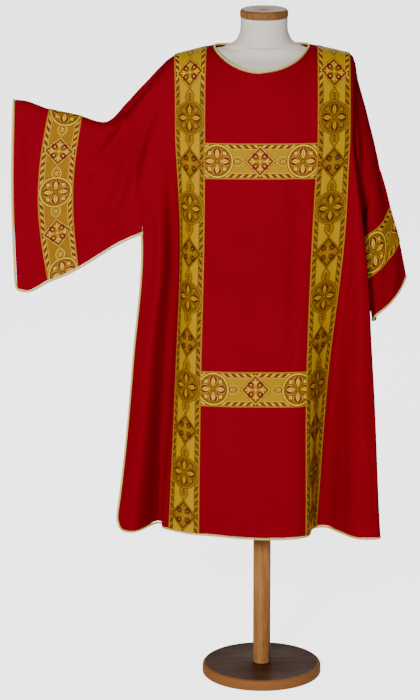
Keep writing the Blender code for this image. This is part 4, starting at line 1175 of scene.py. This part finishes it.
# ------------------------------------------------------------------ piping of the body
# A twisted gold cord, 6 mm thick, sewn to the free edges: round the neck opening, and
# from each underarm corner down the open side, along the hem and up the other side.
CORD_RADIUS = 0.0031
CORD_SIDES = 12
CORD_STEP = 0.0026           # between the rings of points along a cord
EASE_PASSES = 3              # times that a cord's line is evened out
TWIST_PITCH = 0.0140         # length of one full turn of the twist
STRANDS = 3
STRAND_DEPTH = 0.10          # of the radius, between two strands
FINE_THREADS = 24.0          # round the cord
NECK_GAP = 0.0006            # the neck's piping stands this far off the sharply turned edge


def piping_finish():
    """Gold thread wound round a cotton core: fine slanting threads, with painted shade between them and
    along the twist of the strands.
    """
    finish, tree, shader = new_finish("twisted gold piping", 0.50, metallic=0.08)
    parts = tree.nodes.new("ShaderNodeSeparateXYZ")
    put(tree, parts.inputs[0], tree.nodes.new("ShaderNodeUVMap").outputs[0])
    turned = calc(tree, "MULTIPLY_ADD", parts.outputs[1], 1.0 / TWIST_PITCH, parts.outputs[0])
    threads = calc(tree, "SINE", calc(tree, "MULTIPLY", turned, 2 * math.pi * FINE_THREADS))
    hollow = calc(tree, "SINE", calc(tree, "MULTIPLY", turned, 2 * math.pi * STRANDS))
    # Painted shade: the colour darkens between the fine threads and in a band along each strand.
    share = calc(tree, "MULTIPLY_ADD", threads, 0.18, calc(tree, "MULTIPLY_ADD", hollow, 0.26, 0.56))
    tone = blend_over(tree, colour(208, 168, 70), colour(252, 228, 130), share)
    put(tree, shader.inputs["Base Color"], tone)
    put(tree, shader.inputs["Normal"], raised(tree, threads, 0.35, 0.0002))
    return finish


def rim_walk(rows, normals, places):
    """Rim points, their inner neighbours and their normals at (row, column) places."""
    last_row, last_column = len(rows) - 1, len(rows[0]) - 1
    return [(rows[i][j], rows[min(max(i, 1), last_row - 1)][min(max(j, 1), last_column - 1)], normals[i][j])
            for i, j in places]


def evenly(points, step, closed):
    """Points at even steps along a line, with the share of each between its neighbours."""
    line = points + points[:1] if closed else points
    travel = chord_knots(line)
    count = max(8, int(round(travel[-1] / step)))
    places = []
    span = 0
    for k in range(count if closed else count + 1):
        at = travel[-1] * k / count
        while span < len(travel) - 2 and travel[span + 1] < at:
            span += 1
        places.append((span, (at - travel[span]) / (travel[span + 1] - travel[span]), at))
    return line, places


def twisted_cord(name, walk, finish, node, closed=False, gap=SEAM_GAP):
    """Piping beside a wall's rim: strands twisted round a line just off the edge."""
    count = len(walk)
    centres, lifts = [], []
    for k, (point, inner, normal) in enumerate(walk):
        before = walk[k - 1][0] if closed or k else 2 * point - walk[k + 1][0]
        after = walk[(k + 1) % count][0] if closed or k < count - 1 else 2 * point - walk[k - 1][0]
        tangent = ((point - before).normalized() + (after - point).normalized()).normalized()
        away = tangent.cross(normal).normalized()
        if away.dot(point - inner) < 0:
            away.negate()
        centres.append(point - normal * WALL / 2 + away * (CORD_RADIUS + gap))
        lifts.append(normal)
    for _ in range(EASE_PASSES):
        eased = []
        for k, centre in enumerate(centres):
            if not closed and k in (0, count - 1):
                eased.append(centre)
            else:
                eased.append(0.5 * centre + 0.25 * (centres[k - 1] + centres[(k + 1) % count]))
        centres = eased
    line, places = evenly(centres, CORD_STEP, closed)
    ups = lifts + lifts[:1]
    verts, uvs = [], []
    spots = [line[i] + (line[min(i + 1, len(line) - 1)] - line[i]) * t for i, t, _ in places]
    total = len(spots)
    for k, (spot, (i, t, at)) in enumerate(zip(spots, places)):
        before = spots[k - 1] if closed or k else spots[k]
        after = spots[(k + 1) % total] if closed or k < total - 1 else spots[k]
        tangent = (after - before).normalized()
        up = ups[i].lerp(ups[min(i + 1, len(ups) - 1)], t)
        across = tangent.cross(up).normalized()
        up = across.cross(tangent)
        for side in range(CORD_SIDES):
            turn = 2 * math.pi * side / CORD_SIDES
            twist = STRANDS * (turn + 2 * math.pi * at / TWIST_PITCH)
            radius = CORD_RADIUS * (1.0 - STRAND_DEPTH + STRAND_DEPTH * math.cos(twist))
            verts.append(spot + (across * math.cos(turn) + up * math.sin(turn)) * radius)
            uvs.append((side / CORD_SIDES, at))
    piece = solid_mesh(name, verts, ring_faces(0, total, CORD_SIDES, closed), finish, uvs, 80.0)
    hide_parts(node)
    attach(piece, "root")
    return piece


gold_piping = piping_finish()
for panel_name in ("front", "back"):
    rows, normals, columns, panel = panels[panel_name]
    width = len(rows[0])
    walk = [(i, 0) for i in range(ARM_ROW, HEM_ROW + 1)]
    walk += [(HEM_ROW, j) for j in range(1, width)]
    walk += [(i, width - 1) for i in range(HEM_ROW - 1, ARM_ROW - 1, -1)]
    twisted_cord(panel_name + "_edge_piping", rim_walk(rows, normals, walk), gold_piping,
                 panel_name + "_piping")
walk = []
for panel_name, side in (("front", -1), ("back", 1)):
    rows, normals, columns, panel = panels[panel_name]
    span = range(columns["neck_r"], columns["neck_l"] + 1)
    for j in (span if side < 0 else reversed(span[1:-1])):
        point = rows[0][j]
        walk.append((point, 2 * point - Vector((NECK_CENTRE, 0.0, point.z)), normals[0][j]))
twisted_cord("neck_edge_piping", walk, gold_piping, "neck_piping", closed=True, gap=NECK_GAP)

# ------------------------------------------------------------------ sleeves
# Each sleeve is one piece of the red cloth, folded over its top and sewn to the front
# and the back from underarm to underarm over the shoulder.  Its underside stays open,
# edged with the same piping as its cuff.  The wearer's right one is held up.
SLEEVE_GAP = 0.00015
SLEEVE_SPLIT = 8             # fine columns to each step of the tables
SEAM_STEPS = 2               # steps from the seam to the first section of the tables
TOP_ROW = 2 * ARM_ROW        # the sleeve's top among its fine rows

# Sections of the raised sleeve beyond its seam: x, z of its top, depth of the crease
# under the top, x, z of its lower edge, how far each leg stands out there, and how far
# the section bows towards the cuff halfway down.
RAISED_SLEEVE = (
    # name       steps  top               crease  edge             spread  bow
    ("sag",         2, (-0.386, 1.4215), 0.008, (-0.366, 1.126), 0.056, 0.004),
    ("band_in",     3, (-0.443, 1.4355), 0.012, (-0.4535, 1.071), 0.058, 0.017),
    ("band_out",    2, (-0.5237, 1.4535), 0.014, (-0.529, 1.037), 0.060, 0.025),
    ("hand",        1, (-0.5850, 1.4745), 0.016, (-0.585, 1.013), 0.062, 0.012),
    ("cuff",        0, (-0.6055, 1.4765), 0.017, (-0.604, 1.018), 0.062, 0.006),
)

# Sections of the hanging sleeve's front leaf beyond its seam: name, steps, and the points
# at its fold, a quarter and half way down, at its turn and at its free edge.  The back
# leaf mirrors them.
HANGING_SLEEVE = (
    ("band_in", 2, (0.3120, 0.0, 1.208), (0.298, -0.026, 1.186), (0.277, -0.047, 1.166),
     (0.248, -0.058, 1.146), (0.260, -0.020, 1.112)),
    ("band_out", 2, (0.3360, 0.0, 1.121), (0.320, -0.027, 1.096), (0.294, -0.052, 1.070),
     (0.256, -0.062, 1.038), (0.268, -0.022, 1.002)),
    ("cuff", 0, (0.3530, 0.0, 1.037), (0.3365, -0.026, 1.007), (0.308, -0.050, 0.976),
     (0.265, -0.064, 0.943), (0.276, -0.026, 0.932)),
)
CREASE_ROW = 4 * ROW_SPLIT   # row of the seam where the crease under the raised sleeve's top ends
BULGE_TOP = 0.25             # share of a leg's depth that it has at once, just under the top
BULGE_ROUND = 0.05           # share of the way down where the top's rounding ends
SEAM_PULL = 1.15             # times the first section's distance: there the seam's shape has died out
NEAR_SHARE = 0.5625          # what the two nearer and the two farther rows give to a new one
FAR_SHARE = 0.0625
SLEEVE_CALM = 0.055          # the creases grow to their full height this far from the seam


def section_places(knots, sections):
    """Distances of a sleeve's fine columns from its seam."""
    steps = [SEAM_STEPS] + [section[1] for section in sections]
    places = []
    for index in range(len(knots) - 1):
        count = steps[index] * SLEEVE_SPLIT
        places += [knots[index] + (knots[index + 1] - knots[index]) * step / count for step in range(count)]
    return places + [knots[-1]]


def section_column(sections, name):
    """Number of the fine column at a named section."""
    names = [section[0] for section in sections]
    steps = [SEAM_STEPS] + [section[1] for section in sections]
    return sum(steps[:names.index(name) + 1]) * SLEEVE_SPLIT


def raised_sleeve_half(seam, side):
    """Columns of points from the seam to the cuff, each from the top to the lower edge."""
    tops = [Vector((seam[0].x, 0.0, seam[0].z))]
    edges = [seam[-1]]
    creases = [seam[0].z - seam[CREASE_ROW].z]
    bows = [0.0]
    for _, _, top, crease, edge, spread, bow in RAISED_SLEEVE:
        tops.append(Vector((top[0], 0.0, top[1])))
        edges.append(Vector((edge[0], side * spread, edge[1])))
        creases.append(crease)
        bows.append(bow)
    knots = chord_knots(tops)
    places = section_places(knots, RAISED_SLEEVE)
    plain = []
    for at in places:
        top = through(tops, knots, at)
        edge = through(edges, knots, at)
        crease = hermite(knots, creases, at)
        bow = hermite(knots, bows, at)
        line = []
        for k, point in enumerate(seam):
            upper = min(1.0, k / CREASE_ROW)
            fall = 0.0
            if k > CREASE_ROW:
                fall = max(0.0, (seam[CREASE_ROW].z - point.z) / (seam[CREASE_ROW].z - seam[-1].z))
            z = top.z - crease * upper + (edge.z - top.z + crease) * fall
            down = (top.z - z) / (top.z - edge.z)
            bulge = BULGE_TOP * math.sqrt(min(1.0, down / BULGE_ROUND)) + (1.0 - BULGE_TOP) * down
            x = top.x + (edge.x - top.x) * down - bow * math.sin(math.pi * down)
            line.append(Vector((x, side * max(SEAM_GAP / 2, side * edge.y * bulge), z)))
        plain.append(line)
    columns = []
    for at, line in zip(places, plain):
        fade = 1.0 - smooth_step(0.0, knots[1] * SEAM_PULL, at)
        columns.append([p + (s - first) * fade for p, s, first in zip(line, seam, plain[0])])
    return columns


def hanging_sleeve_half(seam, side):
    """Columns of points from the seam to the cuff, each from the fold to the free edge."""
    seam_knots = chord_knots(seam)
    shares = [knot / seam_knots[-1] for knot in seam_knots]
    lines = [seam]
    for section in HANGING_SLEEVE:
        points = [Vector((x, y * -side, z)) for x, y, z in section[2:]]
        knots = chord_knots(points)
        lines.append([through(points, knots, share * knots[-1]) for share in shares])
    knots = chord_knots([line[0] for line in lines])
    return [[through([line[k] for line in lines], knots, at) for k in range(len(seam))]
            for at in section_places(knots, HANGING_SLEEVE)]


# Painted shade: the sleeves' galloon has a darker satin ground and a darker red than the body's, for the
# shade that lies on the sleeves.
shaded_sleeve_gold = galloon_finish("gold galloon of the sleeves with painted shade", colour(160, 108, 0), colour(232, 188, 44),
                             colour(232, 188, 44), colour(112, 2, 18), colour(112, 2, 18))


def finer(lines):
    """The grid with one more smooth row between each two, its seam kept straight."""
    rows = []
    for i, line in enumerate(lines[:-1]):
        before, after = lines[max(i - 1, 0)], lines[min(i + 2, len(lines) - 1)]
        rows.append(line)
        rows.append([(b + c) * NEAR_SHARE - (a + d) * FAR_SHARE
                     for a, b, c, d in zip(before, line, lines[i + 1], after)])
        rows[-1][0] = (line[0] + lines[i + 1][0]) / 2
    return rows + [lines[-1]]


CUFF_STITCH_COLUMN = -8      # the line of sewing round a cuff, counted from its edge
STITCH_LIFT = 0.0001
hem_lines = []
for hand, half_maker, seam_column, outward, sections, phase in (
        ("right", raised_sleeve_half, 0, -1, RAISED_SLEEVE, (0.0, 1.10)),
        ("left", hanging_sleeve_half, -1, 1, HANGING_SLEEVE, (0.098, 1.0))):
    halves = []
    for panel_name, side in (("front", -1), ("back", 1)):
        seam = [line[seam_column].copy() for line in panels[panel_name][0][:ARM_ROW + 1]]
        seam[0].y = 0.0
        halves.append(half_maker(seam, side))
    front, back = halves
    around = [[line[k] for line in front] for k in range(ARM_ROW, 0, -1)]
    around.append([(f[0] + b[0]) / 2 for f, b in zip(front, back)])
    around += [[line[k] for line in back] for k in range(1, ARM_ROW + 1)]
    around = finer(around)
    for line in around:
        line[0] = line[0] + (line[1] - line[0]).normalized() * SLEEVE_GAP
    top = around[TOP_ROW]
    shares = [smooth_step(0.0, SLEEVE_CALM, (point - top[0]).length) for point in top]
    around = pressed(around, grid_normals(around, outward),
                     lambda row: FRONT_CREASES if row < TOP_ROW else BACK_CREASES, shares)
    normals = grid_normals(around, outward)
    inner = moved(around, normals, -WALL)
    cloth = walled(hand + "_sleeve", around, inner, metres_over(around), red_cloth)
    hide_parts("sleeve_" + hand)
    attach(cloth, "root")

    last_row, last_column = len(around) - 1, len(around[0]) - 1
    ends = [section_column(sections, name) for name in ("band_in", "band_out")]
    band = part_of(around, 0, last_row, *ends)
    band_normals = part_of(normals, 0, last_row, *ends)
    galloon = lay_galloon(hand + "_sleeve_galloon", band, band_normals, galloon_uvs(band, TOP_ROW, *phase),
                          shaded_sleeve_gold, "band_sleeve_" + hand)
    edge_lines(band, band_normals)

    walk = [(0, j) for j in range(last_column + 1)]
    walk += [(i, last_column) for i in range(1, last_row + 1)]
    walk += [(last_row, j) for j in range(last_column - 1, -1, -1)]
    bead = twisted_cord(hand + "_sleeve_piping", rim_walk(around, normals, walk), gold_piping,
                        "sleeve_%s_piping" % hand)
    cuff_line = [(line[CUFF_STITCH_COLUMN], way[CUFF_STITCH_COLUMN]) for line, way in zip(around, normals)]
    hem_lines.append([(point + normal * STITCH_LIFT, normal) for point, normal in cuff_line])

# ------------------------------------------------------------------ sewing
# Gold thread along both edges of every galloon, and red thread along both hems and
# round each cuff, in stitches of 3 mm: short spindles half sunk in what they hold.
STITCH_LENGTH = 0.0030
STITCH_STEP = 0.0042         # from one stitch to the next
THREAD_RADIUS = 0.00036
THREAD_LIFT = 0.3            # of its radius, above what it lies on
SPINDLE = ((0.0, 0.35), (0.25, 1.0), (0.75, 1.0), (1.0, 0.35))   # share of its length and radius
SPINDLE_CORNERS = ((1, 0), (0, 1), (-1, 0), (0, -1))


def sew(name, paths, finish):
    """All the stitches along some lines, as one piece."""
    verts, faces = [], []
    for path in paths:
        line, places = evenly([point for point, _ in path], STITCH_STEP, False)
        for i, t, _ in places[:-1]:
            after = min(i + 1, len(path) - 1)
            spot = line[i] + (line[after] - line[i]) * t
            up = path[i][1].lerp(path[after][1], t).normalized()
            way = (line[after] - line[i]).normalized()
            across = way.cross(up).normalized()
            faces += ring_faces(len(verts), len(SPINDLE), len(SPINDLE_CORNERS))
            for reach, swell in SPINDLE:
                centre = spot + way * STITCH_LENGTH * reach + up * THREAD_RADIUS * THREAD_LIFT
                for a, b in SPINDLE_CORNERS:
                    verts.append(centre + (across * a + up * b) * THREAD_RADIUS * swell)
    piece = solid_mesh(name, verts, faces, finish, angle=80.0)
    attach(piece, "root")


def thread_finish(name, pale, dark):
    """Sewing thread with uneven plies and a soft shine."""
    finish, tree, shader = new_finish(name, 0.44)
    place = tree.nodes.new("ShaderNodeTexCoord").outputs["Object"]
    plies = speckle(tree, place, 900.0, 1.0)
    put(tree, shader.inputs["Base Color"], blend_over(tree, dark, pale, plies))
    put(tree, shader.inputs["Normal"], raised(tree, plies, 0.3, 0.0001))
    return finish


for rows, normals, columns, panel in panels.values():
    hem_lines.append([(p + n * STITCH_LIFT, n) for p, n in zip(rows[HEM_ROW - 1], normals[HEM_ROW - 1])])
gold_thread = thread_finish("gold sewing thread", colour(206, 168, 60), colour(150, 106, 16))
red_thread = thread_finish("red sewing thread", colour(150, 4, 22), colour(104, 0, 12))
sew("galloon_stitches", stitch_lines, gold_thread)
sew("hem_stitches", hem_lines, red_thread)

# ------------------------------------------------------------------ trim of each panel
# The galloons, piping and sewing that go with the front and the back panels, listed by name.
cloth_trim = {side: [side + "_chest_galloon", side + "_skirt_galloon", side + "_edge_piping"]
              for side in ("front", "back")}
cloth_trim["front"] += ["right_shoulder_galloon", "left_shoulder_galloon", "neck_edge_piping",
                        "galloon_stitches", "hem_stitches"]

# ------------------------------------------------------------------ floor, light, camera
# A wide pale floor that fills the frame, a key light from the front left, weak light
# from the right and from behind, and a long lens a little above the object.
FLOOR_SIZE = 40.0
FLOOR_DROP = 0.0006          # it lies just under the base
FLOOR_GLOW = 2.8             # keeps the floor pale where the camera sees it
SKY_LIGHT = 0.16
WHITE = (1.0, 1.0, 1.0, 1.0)
LIGHTS = (
    # name          place              aims at           size  watts
    ("key_light", (-1.5, -5.4, 2.9), (-0.1, 0.0, 1.0), 0.9, 315.0),
    ("fill_light", (2.6, -4.6, 2.2), (0.0, 0.0, 1.0), 2.0, 24.0),
    ("back_light", (0.4, 3.6, 3.2), (0.0, 0.0, 1.2), 2.0, 60.0),
)
FRAME_HEIGHT = 700.0         # pixels
LENS_REACH = 3600.0          # distance from lens to frame, in the same pixels
SENSOR_SIZE = 36.0           # mm
CAMERA_PLACE = (-0.131, -8.63, 3.157)
CAMERA_TILT = 75.0           # degrees up from looking straight down

bpy.ops.object.select_all(action="DESELECT")
bpy.ops.mesh.primitive_plane_add(size=FLOOR_SIZE, location=(0.0, 0.0, -FLOOR_DROP))
floor = bpy.context.object
floor.name = "studio_floor"
pale_paper, tree, shader = new_finish("pale studio floor", 0.9)
seen = tree.nodes.new("ShaderNodeLightPath").outputs["Is Camera Ray"]
shader.inputs["Base Color"].default_value = colour(246, 246, 246)
shader.inputs["Emission Color"].default_value = WHITE
put(tree, shader.inputs["Emission Strength"], calc(tree, "MULTIPLY", seen, FLOOR_GLOW))
floor.data.materials.append(pale_paper)

sky = bpy.data.worlds.new("soft studio")
bpy.context.scene.world = sky
sky.use_nodes = True
sky.node_tree.nodes["Background"].inputs[0].default_value = WHITE
sky.node_tree.nodes["Background"].inputs[1].default_value = SKY_LIGHT

for name, place, target, size, watts in LIGHTS:
    lamp = bpy.data.lights.new(name, "AREA")
    lamp.energy = watts
    lamp.size = size
    holder = bpy.data.objects.new(name, lamp)
    bpy.context.collection.objects.link(holder)
    holder.location = place
    holder.rotation_euler = (Vector(target) - Vector(place)).to_track_quat("-Z", "Y").to_euler()

lens = bpy.data.cameras.new("front_camera")
lens.sensor_fit = "VERTICAL"
lens.sensor_height = SENSOR_SIZE
lens.sensor_width = SENSOR_SIZE
lens.lens = SENSOR_SIZE * LENS_REACH / FRAME_HEIGHT
camera = bpy.data.objects.new("front_camera", lens)
bpy.context.collection.objects.link(camera)
camera.location = CAMERA_PLACE
camera.rotation_euler = (math.radians(CAMERA_TILT), 0.0, 0.0)
bpy.context.scene.camera = camera
